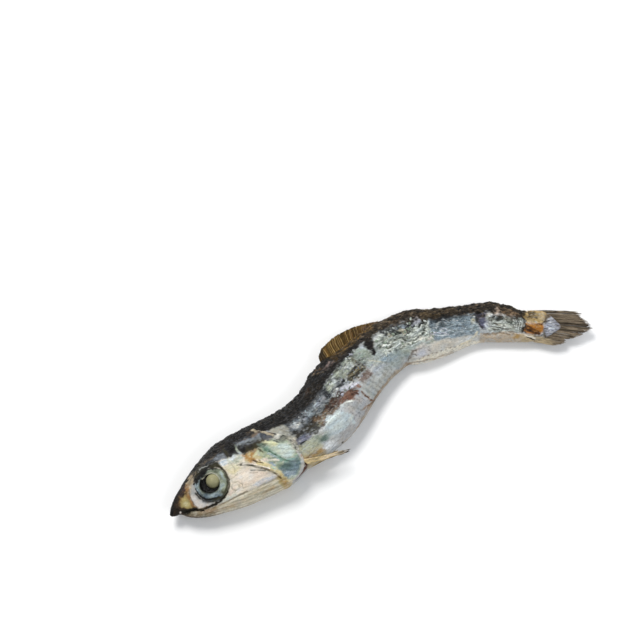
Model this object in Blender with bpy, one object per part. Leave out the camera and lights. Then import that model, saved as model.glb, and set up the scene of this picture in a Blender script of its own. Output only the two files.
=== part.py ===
"""A small anchovy, dried whole. It has bent into a shallow S and lies on its right flank, left flank up.

Every place on the fish is given by three numbers in millimetres:
  along   from the tip of the snout, following the bent midline
  height  from the midline towards the back (+) or the belly (-), in the plane of the table
  side    from the midline towards the left flank (+, up) or the right flank (-, down)
place() turns them into metres in the part's own frame: X along the fish, +Z up, origin under its middle.
"""

import math

import bmesh
import bpy
import numpy as np
from mathutils import Vector, noise

MM = 0.001
LENGTH = 100.0  # along the midline, snout to the longest ray of the tail

# Driving tables: each row is (along, value), and the values between rows follow a smooth curve.
HEADING = (
    (0, 22), (8, 9.5), (17, 5.3), (27, 9.3), (36, 21), (43, 29.5), (49, 24.5),
    (57, 6.5), (64, -6.5), (72, -13.3), (80, -24), (87, -27.8), (94, -25.5), (100, -19),
)  # degrees from X: the S of the dried body
BACK = (
    (0, 0.6), (0.7, 1.2), (2, 2.05), (5, 3.4), (9, 5.25), (12, 6.4), (14.5, 7.2), (18, 7.55),
    (24, 7.3), (30, 6.8), (36, 6.7), (43, 7.5), (46, 7.25), (50, 6.1), (58, 6.0), (63.5, 6.0),
    (70, 4.85), (76, 4.65), (80, 4.8), (83, 4.1), (86, 3.15), (89, 3.3), (93, 2.3),
)  # height of the back's ridge
BELLY = (
    (0, 0.15), (0.7, -0.4), (1.8, -1.05), (2.4, -2.1), (3.4, -3.2), (5, -4.3), (10, -6.1),
    (14, -7.0), (19, -7.55), (23, -7.7), (25.5, -7.5), (28.5, -6.85), (31, -6.85), (37, -7.35),
    (42, -7.1), (46, -6.65), (52, -6.0), (57, -5.35), (59.5, -4.95), (62, -5.5), (67, -5.5),
    (71, -4.8), (76, -3.75), (82, -3.6), (86, -3.4), (89, -3.0), (93, -2.3),
)  # height of the belly's keel
HALF_WIDTH = (
    (0, 0.3), (0.7, 0.8), (2, 1.3), (5, 2.2), (10, 3.15), (16, 3.7), (24, 4.0), (29, 3.6),
    (34, 3.5), (42, 3.4), (52, 2.95), (60, 2.75), (70, 2.5), (78, 2.15), (84, 1.8), (88, 1.2), (93, 0.35),
)  # from the midline to either flank
LIFT = (
    (0, 3.3), (10, 3.75), (24, 3.88), (34, 3.9), (45, 3.6), (57, 2.7), (66, 2.15),
    (72, 1.95), (79, 2.0), (86, 2.15), (93, 2.5), (100, 2.9),
)  # height of the midline over the table

BODY_END = 93.0  # where the flesh ends inside the tail fin
HEAD_END = 30.0
HEAD_STEP = 0.85
TRUNK_STEP = 1.25
AROUND = 36  # faces round the body
MIDLINE_STEP = 0.1

EYE_CENTRE = (10.15, -0.1)
EYE_RADIUS = 3.45
EYE_TILT = math.radians(8)  # the head narrows towards the snout, and the eye faces that way
EYE_PRESSED = 0.55  # how much deeper the eye next to the table sits
EYE_PROFILE = (
    (0.0, -0.75), (1.6, -0.65), (2.1, 0.0), (2.65, 0.3), (3.15, 0.12), (EYE_RADIUS, -0.4),
    (EYE_RADIUS, -1.5), (0.0, -1.5),
)  # (radius, rise over the flank) of the ring round the sunken pupil
LENS_CENTRE = (10.65, 0.45)
LENS_RADIUS = 1.45
LENS_SINK = 0.85  # how far the ball's centre lies under the flank

GILL_EDGE = (
    (-7.4, 24.6), (-6.9, 26.7), (-5.8, 28.0), (-3.9, 28.7), (-0.9, 28.9), (1.1, 27.8), (3.2, 25.5),
    (7.5, 22.3),
)  # (height, along) of the rear edge of the gill cover
MOUTH_LINE = ((1.9, -1.0), (3.1, -1.9), (4.8, -3.3), (7.8, -4.3), (15.6, -5.1), (22.5, -5.4))
CHEEK_RIDGE = ((17.3, 0.2), (19.1, -0.9), (21.4, -2.6), (23.3, -4.9), (24.0, -6.7))


def through(keys, at):
    """The value at `at` of the smooth curve through the rows of a driving table."""
    rows = np.array(keys, float)
    x, y = rows[:, 0], rows[:, 1]
    run, rise = np.diff(x), np.diff(y)
    slope = np.empty(len(x))
    slope[0], slope[-1] = rise[0] / run[0], rise[-1] / run[-1]
    slope[1:-1] = (rise[:-1] / run[:-1] * run[1:] + rise[1:] / run[1:] * run[:-1]) / (run[1:] + run[:-1])
    i = int(np.clip(np.searchsorted(x, at, side="right") - 1, 0, len(run) - 1))
    t = float(np.clip((at - x[i]) / run[i], 0, 1))
    return float(
        (2 * t**3 - 3 * t**2 + 1) * y[i]
        + (t**3 - 2 * t**2 + t) * run[i] * slope[i]
        + (3 * t**2 - 2 * t**3) * y[i + 1]
        + (t**3 - t**2) * run[i] * slope[i + 1]
    )


def walk_midline():
    """Points every MIDLINE_STEP along the midline, found by walking on the heading table."""
    x = y = 0.0
    points = [(x, y)]
    for step in range(round(LENGTH / MIDLINE_STEP)):
        heading = math.radians(through(HEADING, (step + 0.5) * MIDLINE_STEP))
        x += MIDLINE_STEP * math.cos(heading)
        y += MIDLINE_STEP * math.sin(heading)
        points.append((x, y))
    return np.array(points)


MIDLINE = walk_midline()


def place(along, height, side):
    """The point of the fish at these three numbers, in metres."""
    places = np.arange(len(MIDLINE)) * MIDLINE_STEP
    heading = math.radians(through(HEADING, along))
    x = np.interp(along, places, MIDLINE[:, 0]) - math.sin(heading) * height
    y = np.interp(along, places, MIDLINE[:, 1]) + math.cos(heading) * height
    return Vector((x, y, through(LIFT, along) + side)) * MM


def fade(value, start, end):
    """0 at start, 1 at end, smooth between; end may lie below start."""
    t = min(1.0, max(0.0, (value - start) / (end - start)))
    return t * t * (3 - 2 * t)


def bump(value, centre, reach):
    """1 at the centre, falling smoothly away over about `reach`."""
    return math.exp(-(((value - centre) / reach) ** 2))


def rough(along, height, side, size, seed):
    """Uneven skin from -1 to 1, with humps about `size` mm across."""
    return noise.noise(Vector((along / size + seed, height / size, side / size)))


def line_distance(points, along, height):
    """Distance from a place on the flank to a bent line."""
    here = Vector((along, height))
    nearest = 1e9
    for start, end in zip(points, points[1:]):
        a, b = Vector(start), Vector(end)
        t = min(1.0, max(0.0, (here - a).dot(b - a) / (b - a).length_squared))
        nearest = min(nearest, (here - a.lerp(b, t)).length)
    return nearest


def head_relief(along, height):
    """How far the flank of the head stands out: gill cover, cheek ridge, mouth line and eye socket."""
    edge = through(GILL_EDGE, max(-7.4, min(7.5, height)))
    plate = fade(along, edge + 0.5, edge - 0.2) * fade(along, edge - 9, edge - 1) * fade(height, 6.5, 3.0)
    relief = 0.5 * plate
    relief += 0.35 * bump(line_distance(CHEEK_RIDGE, along, height), 0, 0.7)
    relief -= 0.35 * bump(line_distance(MOUTH_LINE, along, height), 0, 0.6)
    eye = math.hypot(along - EYE_CENTRE[0], height - EYE_CENTRE[1])
    relief -= 0.9 * fade(eye, EYE_RADIUS + 0.6, EYE_RADIUS - 0.6)
    return relief


def trunk_relief(along, height):
    """How far the flank of the trunk stands out: flesh sinks beside the spine and the full belly bulges."""
    trunk = fade(along, 30, 36)
    relief = -0.45 * bump(height, 0.2, 1.5) * trunk * fade(along, 90, 82)
    relief += 0.4 * bump(math.hypot((along - 39.5) / 1.5, height + 4.2), 0, 2.6)
    relief += 0.3 * bump(math.hypot((along - 64) / 1.6, height + 3.8), 0, 1.9)
    relief -= 0.35 * bump(along, 59.3, 0.9) * fade(height, 0.5, -2.5)
    relief -= 0.4 * bump(along, 86.8, 1.3) * fade(abs(height), 3.4, 1.0)
    return relief


def skin(along, angle):
    """A point of the skin: angle 0 is the ridge of the back, 90 degrees the left flank, 180 the belly."""
    back, belly = through(BACK, along), through(BELLY, along)
    width = through(HALF_WIDTH, along)
    up, out = math.cos(angle), math.sin(angle)
    height = (back + belly) / 2 + (back - belly) / 2 * up
    boxy = 0.85 + 0.15 * fade(along, 26, 36)  # the head's flanks are flatter than the trunk's
    side = width * math.copysign(abs(out) ** boxy, out) * (1 + 0.08 * up)
    crust = 0.26 * rough(along, height, side, 2.3, 11.0) + 0.14 * rough(along, height, side, 1.2, 37.0)
    crust *= fade(along, 21, 27)
    height += crust * max(0.0, up)
    relief = head_relief(along, height) + trunk_relief(along, height) + 0.5 * crust
    side += math.copysign(1, out) * relief * fade(abs(out), 0.15, 0.6) * fade(along, 1, 3)
    point = place(along, height, side)
    point.z = max(point.z, 0.0)  # the table has pressed the lowest spots flat
    return point


def new_object(name, bm):
    """A mesh object of this bmesh, with its faces turned out."""
    bmesh.ops.recalc_face_normals(bm, faces=bm.faces)
    mesh = bpy.data.meshes.new(name)
    bm.to_mesh(mesh)
    bm.free()
    mesh.shade_smooth()
    made = bpy.data.objects.new(name, mesh)
    bpy.context.scene.collection.objects.link(made)
    return made


def join_rings(bm, rings):
    """Faces between each ring of vertices and the next."""
    for ring, following in zip(rings, rings[1:]):
        count = len(ring)
        for i in range(count):
            j = (i + 1) % count
            bm.faces.new((ring[i], ring[j], following[j], following[i]))


def close_to_point(bm, ring, tip):
    """A fan of faces from a ring of vertices to one point."""
    for i, vertex in enumerate(ring):
        bm.faces.new((vertex, ring[(i + 1) % len(ring)], tip))


def ring_places():
    """Where along the body its rings stand, closest together on the snout and the head."""
    places = [0.25, 0.7, 1.3, 1.9, 2.4, 3.0]
    while places[-1] < BODY_END - TRUNK_STEP / 2:
        places.append(places[-1] + (HEAD_STEP if places[-1] < HEAD_END else TRUNK_STEP))
    places[-1] = BODY_END
    return places


def make_body():
    """Head and trunk in one skin, from the tip of the snout to inside the tail fin."""
    bm = bmesh.new()
    rings = [
        [bm.verts.new(skin(along, math.tau * i / AROUND)) for i in range(AROUND)]
        for along in ring_places()
    ]
    join_rings(bm, rings)
    snout_height = (through(BACK, 0) + through(BELLY, 0)) / 2
    close_to_point(bm, rings[0], bm.verts.new(place(0, snout_height, 0)))
    close_to_point(bm, rings[-1], bm.verts.new(place(BODY_END + 0.3, 0, 0)))
    return new_object("dried_fish", bm)


def eye_frame(centre, way):
    """Three axes at a place on the flank: towards the tail, towards the back and out of the head."""
    along, height = centre
    surface = through(HALF_WIDTH, along) if way > 0 else EYE_PRESSED - through(HALF_WIDTH, along)
    origin = place(along, height, surface)
    tailward = place(along + 0.5, height, surface) - place(along - 0.5, height, surface)
    tailward.z = 0
    tailward.normalize()
    backward = Vector((-tailward.y, tailward.x, 0))
    out = (Vector((0, 0, way)) * math.cos(EYE_TILT) - tailward * math.sin(EYE_TILT)).normalized()
    return origin, backward.cross(out).normalized(), backward, out


def make_eye(way):
    """The raised ring of the dried eye round its sunken pupil."""
    origin, tailward, backward, out = eye_frame(EYE_CENTRE, way)
    bm = bmesh.new()
    turns = 24
    rings = []
    for radius, rise in EYE_PROFILE[1:-1]:
        ring = []
        for i in range(turns):
            turn = math.tau * i / turns
            arm = tailward * math.cos(turn) + backward * math.sin(turn)
            ring.append(bm.verts.new(origin + (arm * radius + out * rise) * MM))
        rings.append(ring)
    join_rings(bm, rings)
    close_to_point(bm, rings[0], bm.verts.new(origin + out * EYE_PROFILE[0][1] * MM))
    close_to_point(bm, rings[-1], bm.verts.new(origin + out * EYE_PROFILE[-1][1] * MM))
    return new_object(f"eye_{'left' if way > 0 else 'right'}", bm)


def make_lens(way):
    """The hard ball of the lens, which drying leaves standing in the pupil."""
    origin, _, _, out = eye_frame(LENS_CENTRE, way)
    bm = bmesh.new()
    bmesh.ops.create_uvsphere(bm, u_segments=18, v_segments=12, radius=LENS_RADIUS * MM)
    bmesh.ops.translate(bm, verts=bm.verts, vec=origin - out * LENS_SINK * MM)
    return new_object(f"lens_{'left' if way > 0 else 'right'}", bm)


def make_fin(name, root_line, edge_line, thickness, rays, side_of, steps, bow=(0, 0)):
    """A thin pleated sheet from a root line to an edge line, both rows of (along, height).

    side_of(share_across, share_out) gives the sheet's own side in mm, and each second ray stands proud.
    bow is how far the first and the last ray bend towards the back on their way out.
    """
    bm = bmesh.new()
    across = 2 * rays
    sheets = []
    for face in (1, -1):
        sheet = []
        for i in range(across + 1):
            u = i / across
            root, edge = point_on(root_line, u), point_on(edge_line, u)
            row = []
            for k in range(steps + 1):
                v = k / steps
                along, height = root.lerp(edge, v)
                height += (bow[0] + (bow[1] - bow[0]) * u) * 4 * v * (1 - v)
                pleat = 0.3 * thickness * (1 if i % 2 else -1) * (1 - 0.5 * v)
                side = side_of(u, v) + face * thickness / 2 * (1 - 0.35 * v) + pleat
                row.append(bm.verts.new(place(along, height, side)))
            sheet.append(row)
        sheets.append(sheet)
    top, bottom = sheets
    for i in range(across):
        for k in range(steps):
            for sheet, flip in ((top, False), (bottom, True)):
                corners = (sheet[i][k], sheet[i + 1][k], sheet[i + 1][k + 1], sheet[i][k + 1])
                for triangle in ((0, 1, 2), (0, 2, 3)):
                    found = [corners[c] for c in triangle]
                    bm.faces.new(found[::-1] if flip else found)
    rim = [(i, 0) for i in range(across)] + [(across, k) for k in range(steps)]
    rim += [(i, steps) for i in range(across, 0, -1)] + [(0, k) for k in range(steps, 0, -1)]
    for (i, k), (j, m) in zip(rim, rim[1:] + rim[:1]):
        bm.faces.new((top[i][k], bottom[i][k], bottom[j][m], top[j][m]))
    return new_object(name, bm)


def point_on(line, share):
    """The point at this share of a line's points, straight between them."""
    reach = share * (len(line) - 1)
    i = min(int(reach), len(line) - 2)
    return Vector(line[i]).lerp(Vector(line[i + 1]), reach - i)


def make_tail():
    """The tail fin, dried shut to one ragged brush."""
    root = ((86.4, 3.1), (87.0, 1.6), (87.2, 0.2), (87.0, -1.2), (86.4, -2.6))
    edge = (
        (97.2, 3.2), (98.4, 2.6), (98.3, 1.9), (99.0, 1.3), (99.6, 0.6), (100.0, -0.3),
        (98.8, -1.2), (97.0, -1.9), (95.4, -2.5), (94.5, -3.1), (92.4, -3.6),
    )
    return make_fin("tail", root, edge, 0.9, 10, lambda u, v: 0.35 * math.sin(5 * u + 1) * v, 8, (0.4, -0.2))


def make_dorsal():
    """The dorsal fin, folded back along the ridge."""
    root = ((45.6, 6.2), (48.5, 5.0), (51.5, 4.7), (54.5, 4.7), (57.6, 5.0))
    edge = ((46.8, 8.3), (48.0, 8.95), (51.0, 8.8), (54.2, 7.9), (58.2, 6.1))
    return make_fin("dorsal", root, edge, 0.6, 9, lambda u, v: 0.5 * v + 0.25 * math.sin(7 * u), 5)


def make_pectoral(way):
    """One pectoral fin, dried shut to a stick that stands off the belly."""
    root = ((28.4, -4.6), (28.6, -5.4), (28.8, -6.2))
    if way > 0:
        edge = ((36.3, -9.0), (36.5, -9.3), (35.9, -9.5))
        return make_fin("pectoral_left", root, edge, 0.9, 3, lambda u, v: 2.5 - 1.2 * v, 8, (-0.9, -0.9))
    edge = ((35.4, -7.5), (35.6, -7.9), (35.0, -8.2))
    return make_fin("pectoral_right", root, edge, 0.8, 3, lambda u, v: -2.2 + 0.3 * v, 8, (-0.5, -0.5))


def make_anal():
    """The anal fin, dried down on the keel as a low frill."""
    root = ((60.5, -4.4), (64.0, -4.7), (68.0, -4.45), (72.0, -3.65), (76.0, -2.8))
    edge = ((60.8, -5.6), (64.2, -5.9), (68.6, -5.7), (72.6, -4.75), (76.6, -3.85))
    return make_fin("anal", root, edge, 0.7, 9, lambda u, v: 0.2 * math.sin(9 * u), 3)


def fuse(body, pieces):
    """Joins the pieces to the body in one Boolean union and removes them."""
    collection = bpy.data.collections.new("pieces")
    bpy.context.scene.collection.children.link(collection)
    for piece in pieces:
        bpy.context.scene.collection.objects.unlink(piece)
        collection.objects.link(piece)
    union = body.modifiers.new("union", "BOOLEAN")
    union.operation = "UNION"
    union.solver = "EXACT"
    union.operand_type = "COLLECTION"
    union.collection = collection
    bpy.context.view_layer.objects.active = body
    bpy.ops.object.modifier_apply(modifier=union.name)
    for piece in pieces:
        bpy.data.objects.remove(piece)
    bpy.data.collections.remove(collection)


def keep_largest(body):
    """Drops any loose scrap, so that the fish is one solid."""
    bm = bmesh.new()
    bm.from_mesh(body.data)
    left, islands = set(bm.verts), []
    while left:
        island, edge = set(), [left.pop()]
        while edge:
            vertex = edge.pop()
            island.add(vertex)
            for link in vertex.link_edges:
                other = link.other_vert(vertex)
                if other in left:
                    left.discard(other)
                    edge.append(other)
        islands.append(island)
    largest = max(islands, key=len)
    bmesh.ops.delete(bm, geom=[v for v in bm.verts if v not in largest], context="VERTS")
    bm.to_mesh(body.data)
    bm.free()


def centre_on_origin(body):
    """Moves the mesh so that the middle of its box stands over the origin, on the table."""
    points = np.array([v.co for v in body.data.vertices])
    low, high = points.min(axis=0), points.max(axis=0)
    shift = Vector((-(low[0] + high[0]) / 2, -(low[1] + high[1]) / 2, -low[2]))
    for vertex in body.data.vertices:
        vertex.co += shift


def skin_material():
    """Silver grey skin with a low sheen."""
    material = bpy.data.materials.new("dried_skin")
    material.use_nodes = True
    shader = material.node_tree.nodes["Principled BSDF"]
    shader.inputs["Base Color"].default_value = (0.28, 0.28, 0.25, 1)
    shader.inputs["Roughness"].default_value = 0.45
    shader.inputs["Metallic"].default_value = 0.15
    return material


def main():
    for old in list(bpy.data.objects):
        bpy.data.objects.remove(old)
    body = make_body()
    pieces = [make_tail(), make_dorsal(), make_anal()]
    for way in (1, -1):
        pieces += [make_eye(way), make_lens(way), make_pectoral(way)]
    fuse(body, pieces)
    keep_largest(body)
    centre_on_origin(body)
    body.data.shade_smooth()
    body.data.materials.clear()
    body.data.materials.append(skin_material())


main()
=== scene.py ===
import math

import bmesh
import bpy
import numpy as np
from mathutils import Matrix, Vector, noise


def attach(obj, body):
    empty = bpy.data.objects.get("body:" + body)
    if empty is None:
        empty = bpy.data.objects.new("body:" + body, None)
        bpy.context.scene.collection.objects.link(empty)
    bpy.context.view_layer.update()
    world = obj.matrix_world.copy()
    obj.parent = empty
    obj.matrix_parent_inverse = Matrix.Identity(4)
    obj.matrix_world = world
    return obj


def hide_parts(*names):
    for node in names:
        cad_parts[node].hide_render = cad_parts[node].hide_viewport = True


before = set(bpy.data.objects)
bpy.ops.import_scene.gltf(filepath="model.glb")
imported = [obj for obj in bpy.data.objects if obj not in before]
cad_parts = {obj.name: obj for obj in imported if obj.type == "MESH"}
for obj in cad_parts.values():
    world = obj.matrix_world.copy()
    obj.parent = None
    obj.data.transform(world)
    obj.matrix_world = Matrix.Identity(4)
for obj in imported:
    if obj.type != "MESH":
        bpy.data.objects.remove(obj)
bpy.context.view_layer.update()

mm = 0.001
rng = np.random.default_rng(29)


# the fish's own coordinates: along from the snout, height towards the back, side towards the left flank

fish = {
    "snout": (-47.364, -8.827),  # where the midline starts, in the frame
    "length": 101.0,
    "bodyEnd": 93.9,
    "heading": (
        (0, 22), (8, 9.5), (17, 5.3), (27, 9.3), (36, 21), (43, 29.5), (49, 24.5),
        (57, 6.5), (64, -6.5), (72, -13.3), (80, -24), (87, -27.8), (94, -25.5), (100, -19),
    ),  # the S of the dried body, in degrees from X
    "back": (
        (0, 0.6), (0.7, 1.2), (2, 2.05), (5, 3.4), (9, 5.25), (12, 6.4), (14.5, 7.2), (18, 7.55),
        (24, 7.3), (30, 6.8), (36, 6.7), (43, 7.5), (46, 7.25), (50, 6.1), (58, 6.0), (63.5, 6.0),
        (70, 4.85), (76, 4.65), (80, 4.8), (83, 4.1), (86, 3.15), (88.5, 3.45), (90.5, 3.1),
        (93, 1.2), (94, 0.2),
    ),
    "belly": (
        (0, 0.15), (0.7, -0.4), (1.8, -1.05), (2.4, -2.1), (3.4, -3.2), (5, -4.3), (10, -6.1),
        (14, -7.0), (19, -7.55), (23, -7.7), (25.5, -7.5), (28.5, -6.85), (31, -6.85), (37, -7.35),
        (42, -7.1), (46, -6.65), (52, -6.0), (57, -5.35), (59.5, -4.95), (62, -5.5), (67, -5.5),
        (71, -4.8), (76, -3.75), (82, -3.6), (86, -3.45), (88.5, -3.1), (90.5, -2.4), (93, -0.7), (94, 0.0),
    ),
    "halfWidth": (
        (0, 0.3), (0.7, 0.8), (2, 1.3), (5, 2.2), (10, 3.15), (16, 3.7), (24, 4.0), (29, 3.6),
        (34, 3.5), (42, 3.4), (52, 2.95), (60, 2.75), (70, 2.5), (78, 2.15), (84, 1.8), (88, 1.25),
        (92, 0.75), (94, 0.5),
    ),
    "lift": (
        (0, 3.3), (10, 3.75), (24, 3.88), (34, 3.9), (45, 3.6), (57, 2.7), (66, 2.15),
        (72, 1.95), (79, 2.0), (86, 2.15), (93, 2.5), (100, 2.9),
    ),
}

view = {
    "azimuth": -23.92,
    "elevation": 73.97,
    "distance": 0.7365,
    "lens": 200.0,
    "target": (-0.00263, 0.01792, 0.0),
    "plane": 3.5,  # height in mm of the plane that the marks were measured on
    # how far the marks are still off after that, along the fish and in height
    "drift": ((0, -0.31), (20, -0.09), (45, 0.13), (70, 0.02), (90, -0.12)),
    "drop": 0.05,
}


def through(keys, at):
    # a smooth curve through the keys, read at every place
    rows = np.array(keys, float)
    x, y = rows[:, 0], rows[:, 1]
    run, rise = np.diff(x), np.diff(y)
    slope = np.empty(len(x))
    slope[0], slope[-1] = rise[0] / run[0], rise[-1] / run[-1]
    slope[1:-1] = (rise[:-1] / run[:-1] * run[1:] + rise[1:] / run[1:] * run[:-1]) / (run[1:] + run[:-1])
    i = np.clip(np.searchsorted(x, at, side="right") - 1, 0, len(run) - 1)
    t = np.clip((at - x[i]) / run[i], 0, 1)
    return (
        (2 * t**3 - 3 * t**2 + 1) * y[i]
        + (t**3 - 2 * t**2 + t) * run[i] * slope[i]
        + (3 * t**2 - 2 * t**3) * y[i + 1]
        + (t**3 - t**2) * run[i] * slope[i + 1]
    )


def walkMidline():
    step = 0.1
    heading = np.radians(through(fish["heading"], np.arange(0.5, fish["length"] / step) * step))
    x = fish["snout"][0] + np.append(0, np.cumsum(np.cos(heading) * step))
    y = fish["snout"][1] + np.append(0, np.cumsum(np.sin(heading) * step))
    return np.arange(len(x)) * step, x, y


midline = walkMidline()


def placeAll(along, height, side):
    # the fish's own coordinates in mm, as points in the frame
    heading = np.radians(through(fish["heading"], along))
    x = np.interp(along, midline[0], midline[1]) - np.sin(heading) * height
    y = np.interp(along, midline[0], midline[2]) + np.cos(heading) * height
    z = np.maximum(through(fish["lift"], along) + side, 0)
    return np.stack([x, y, z], axis=-1) * mm


def fade(value, start, end):
    # 0 at start and before it, 1 at end and past it, smooth between them
    t = np.clip((value - start) / (end - start), 0, 1)
    return t * t * (3 - 2 * t)


def seenAt(along, height, side):
    # marks were measured on one plane, so skin that lies higher or lower slides along the line of sight
    azimuth, elevation = math.radians(view["azimuth"]), math.radians(view["elevation"])
    heading = np.radians(through(fish["heading"], along))
    slide = (through(fish["lift"], along) + np.abs(side) - view["plane"]) / math.tan(elevation)
    seenAlong = along + slide * np.sin(heading - azimuth) + through(view["drift"], along)
    return seenAlong, height + slide * np.cos(heading - azimuth) - view["drop"]


def hump(value, centre, reach):
    # 1 at the centre, fading on both sides
    return np.exp(-(((value - centre) / reach) ** 2))


def grain(spots, size, seed, octaves=1, kind="soft"):
    # uneven values over places in mm, from a seed of its own; size is one number or one for each axis
    rows = (spots / np.array(size) + seed).tolist()
    if kind == "ridged":
        return np.array([noise.ridged_multi_fractal(row, 1.0, 2.1, octaves, 1.0, 2.0) for row in rows])
    if kind == "cracks":
        found = [noise.voronoi(row)[0] for row in rows]
        return np.array([distances[1] - distances[0] for distances in found])
    if octaves == 1:
        return np.array([noise.noise(row) for row in rows])
    return np.array([noise.fractal(row, 1.0, 2.1, octaves) for row in rows])


def lineDistance(points, along, height):
    # how far each spot lies from a bent line
    nearest = np.full(len(along), 1e9)
    for (ax, ay), (bx, by) in zip(points, points[1:]):
        dx, dy = bx - ax, by - ay
        t = np.clip(((along - ax) * dx + (height - ay) * dy) / (dx * dx + dy * dy), 0, 1)
        nearest = np.minimum(nearest, np.hypot(along - ax - t * dx, height - ay - t * dy))
    return nearest


def insideOutline(points, along, height):
    inside = np.zeros(len(along), bool)
    for (ax, ay), (bx, by) in zip(points, points[1:] + points[:1]):
        if ay != by:
            crosses = (ay > height) != (by > height)
            inside ^= crosses & (along < (bx - ax) * (height - ay) / (by - ay) + ax)
    return inside


def flat(values):
    # rows of numbers as Blender takes them
    return values.astype(np.float32).ravel()


def linear(tone):
    # an sRGB tone, given as six hex digits, in Blender's linear values
    shares = [int(tone[i : i + 2], 16) / 255 for i in (0, 2, 4)]
    return np.array([s / 12.92 if s <= 0.04045 else ((s + 0.055) / 1.055) ** 2.4 for s in shares])


# shader wires


class Wire:
    # one output socket; arithmetic on it adds Math nodes
    def __init__(self, tree, socket):
        self.tree = tree
        self.socket = socket

    def add(self, kind, settings=None, values=None, out=0):
        node = self.tree.nodes.new(kind)
        for name, value in (settings or {}).items():
            setattr(node, name, value)
        for name, value in (values or {}).items():
            if isinstance(value, Wire):
                self.tree.links.new(value.socket, node.inputs[name])
            else:
                node.inputs[name].default_value = value
        return Wire(self.tree, node.outputs[out])

    def calc(self, operation, first, second, clamp=False):
        settings = {"operation": operation, "use_clamp": clamp}
        return self.add("ShaderNodeMath", settings, {0: first, 1: second})

    def __add__(self, other):
        return self.calc("ADD", self, other)

    def __sub__(self, other):
        return self.calc("SUBTRACT", self, other)

    def __rsub__(self, other):
        return self.calc("SUBTRACT", other, self)

    def __mul__(self, other):
        return self.calc("MULTIPLY", self, other)

    __rmul__ = __mul__

    def clamped(self):
        return self.calc("ADD", self, 0.0, clamp=True)

    def mixed(self, other, amount):
        # a colour with another laid over it: inputs 0, 6 and 7 are the colour mix's factor, A and B
        return self.add("ShaderNodeMix", {"data_type": "RGBA"}, {0: amount, 6: self, 7: other}, out=2)


def newMaterial(name, fixed):
    # a material, its shader and an empty wire to start the nodes from
    material = bpy.data.materials.new(name)
    material.use_nodes = True
    shader = material.node_tree.nodes["Principled BSDF"]
    for socket, value in fixed.items():
        shader.inputs[socket].default_value = value
    return material, shader, Wire(material.node_tree, None)


def connect(shader, socket, wire):
    wire.tree.links.new(wire.socket, shader.inputs[socket])


def fishPlace(start, scale):
    # the piece's own along, height and side in mm, times a scale for each
    place = start.add("ShaderNodeAttribute", {"attribute_name": "fishPlace"}, out=1)
    return place.add("ShaderNodeVectorMath", {"operation": "MULTIPLY"}, {0: place, 1: scale})


def noiseAt(start, scale, detail, rough, distortion=0.0):
    values = {"Scale": 1.0, "Detail": detail, "Roughness": rough, "Distortion": distortion}
    values["Vector"] = fishPlace(start, scale)
    return start.add("ShaderNodeTexNoise", {}, values)


def bumped(start, height, distance, strength, before=None):
    values = {"Height": height, "Distance": distance, "Strength": strength}
    if before is not None:
        values["Normal"] = before
    return start.add("ShaderNodeBump", {}, values)


# camera, light and floor


def viewAxes():
    # to the right and ahead on the ground, and along the line of sight
    azimuth, elevation = math.radians(view["azimuth"]), math.radians(view["elevation"])
    right = Vector((math.cos(azimuth), math.sin(azimuth), 0))
    ahead = Vector((-math.sin(azimuth), math.cos(azimuth), 0))
    look = ahead * math.cos(elevation) - Vector((0, 0, math.sin(elevation)))
    return right, ahead, look


def makeCamera():
    look = viewAxes()[2]
    data = bpy.data.cameras.new("photoCamera")
    data.lens = view["lens"]
    data.clip_start = 0.01
    camera = bpy.data.objects.new("photoCamera", data)
    bpy.context.scene.collection.objects.link(camera)
    camera.location = Vector(view["target"]) - look * view["distance"]
    camera.rotation_euler = look.to_track_quat("-Z", "Y").to_euler()
    bpy.context.scene.camera = camera
    print("camera made")


studio = {
    "worldColour": (0.93, 0.96, 1.0, 1),
    "worldStrength": 0.46,
    "floorSize": 6.0,
    "floorColour": (0.97, 0.97, 0.97, 1),
    "lights": (
        # name, to the right, ahead, up, size, watts, colour
        ("key", -0.24, 0.32, 0.66, 0.32, 3.8, (1.0, 0.985, 0.96)),
        ("fill", 0.45, -0.25, 0.50, 0.50, 1.3, (0.95, 0.98, 1.0)),
        ("rim", 0.10, 0.70, 0.35, 0.30, 1.5, (1.0, 1.0, 1.0)),
    ),
}


def makeStudio():
    scene = bpy.context.scene
    scene.view_settings.view_transform = "Standard"
    world = bpy.data.worlds.new("softRoom")
    world.use_nodes = True
    background = world.node_tree.nodes["Background"]
    background.inputs["Color"].default_value = studio["worldColour"]
    background.inputs["Strength"].default_value = studio["worldStrength"]
    scene.world = world
    right, ahead, _ = viewAxes()
    for name, toRight, toAhead, up, size, watts, colour in studio["lights"]:
        data = bpy.data.lights.new(name, "AREA")
        data.shape = "DISK"
        data.size = size
        data.energy = watts
        data.color = colour
        lamp = bpy.data.objects.new(name, data)
        lamp.location = right * toRight + ahead * toAhead + Vector((0, 0, up))
        lamp.rotation_euler = (-lamp.location).to_track_quat("-Z", "Y").to_euler()
        scene.collection.objects.link(lamp)
    bm = bmesh.new()
    bmesh.ops.create_grid(bm, x_segments=1, y_segments=1, size=studio["floorSize"] / 2)
    floor = bpy.data.objects.new("floor", meshFrom(bm, "floor"))
    scene.collection.objects.link(floor)
    material, _, _ = newMaterial("paleFloor", {"Base Color": studio["floorColour"], "Roughness": 0.7})
    floor.data.materials.append(material)
    print("studio made")


# making a piece from a wrapped grid


def meshFrom(bm, name):
    mesh = bpy.data.meshes.new(name)
    bm.to_mesh(mesh)
    bm.free()
    return mesh


def gridShares(bm, steps, around):
    # a flat grid; its vertices as shares of the steps and of the way round
    made = bmesh.ops.create_grid(bm, x_segments=steps, y_segments=around, size=0.5)
    return np.array([vertex.co[:2] for vertex in made["verts"]]) + 0.5


def pointsOf(mesh):
    return np.array([vertex.co for vertex in mesh.vertices])


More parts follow.
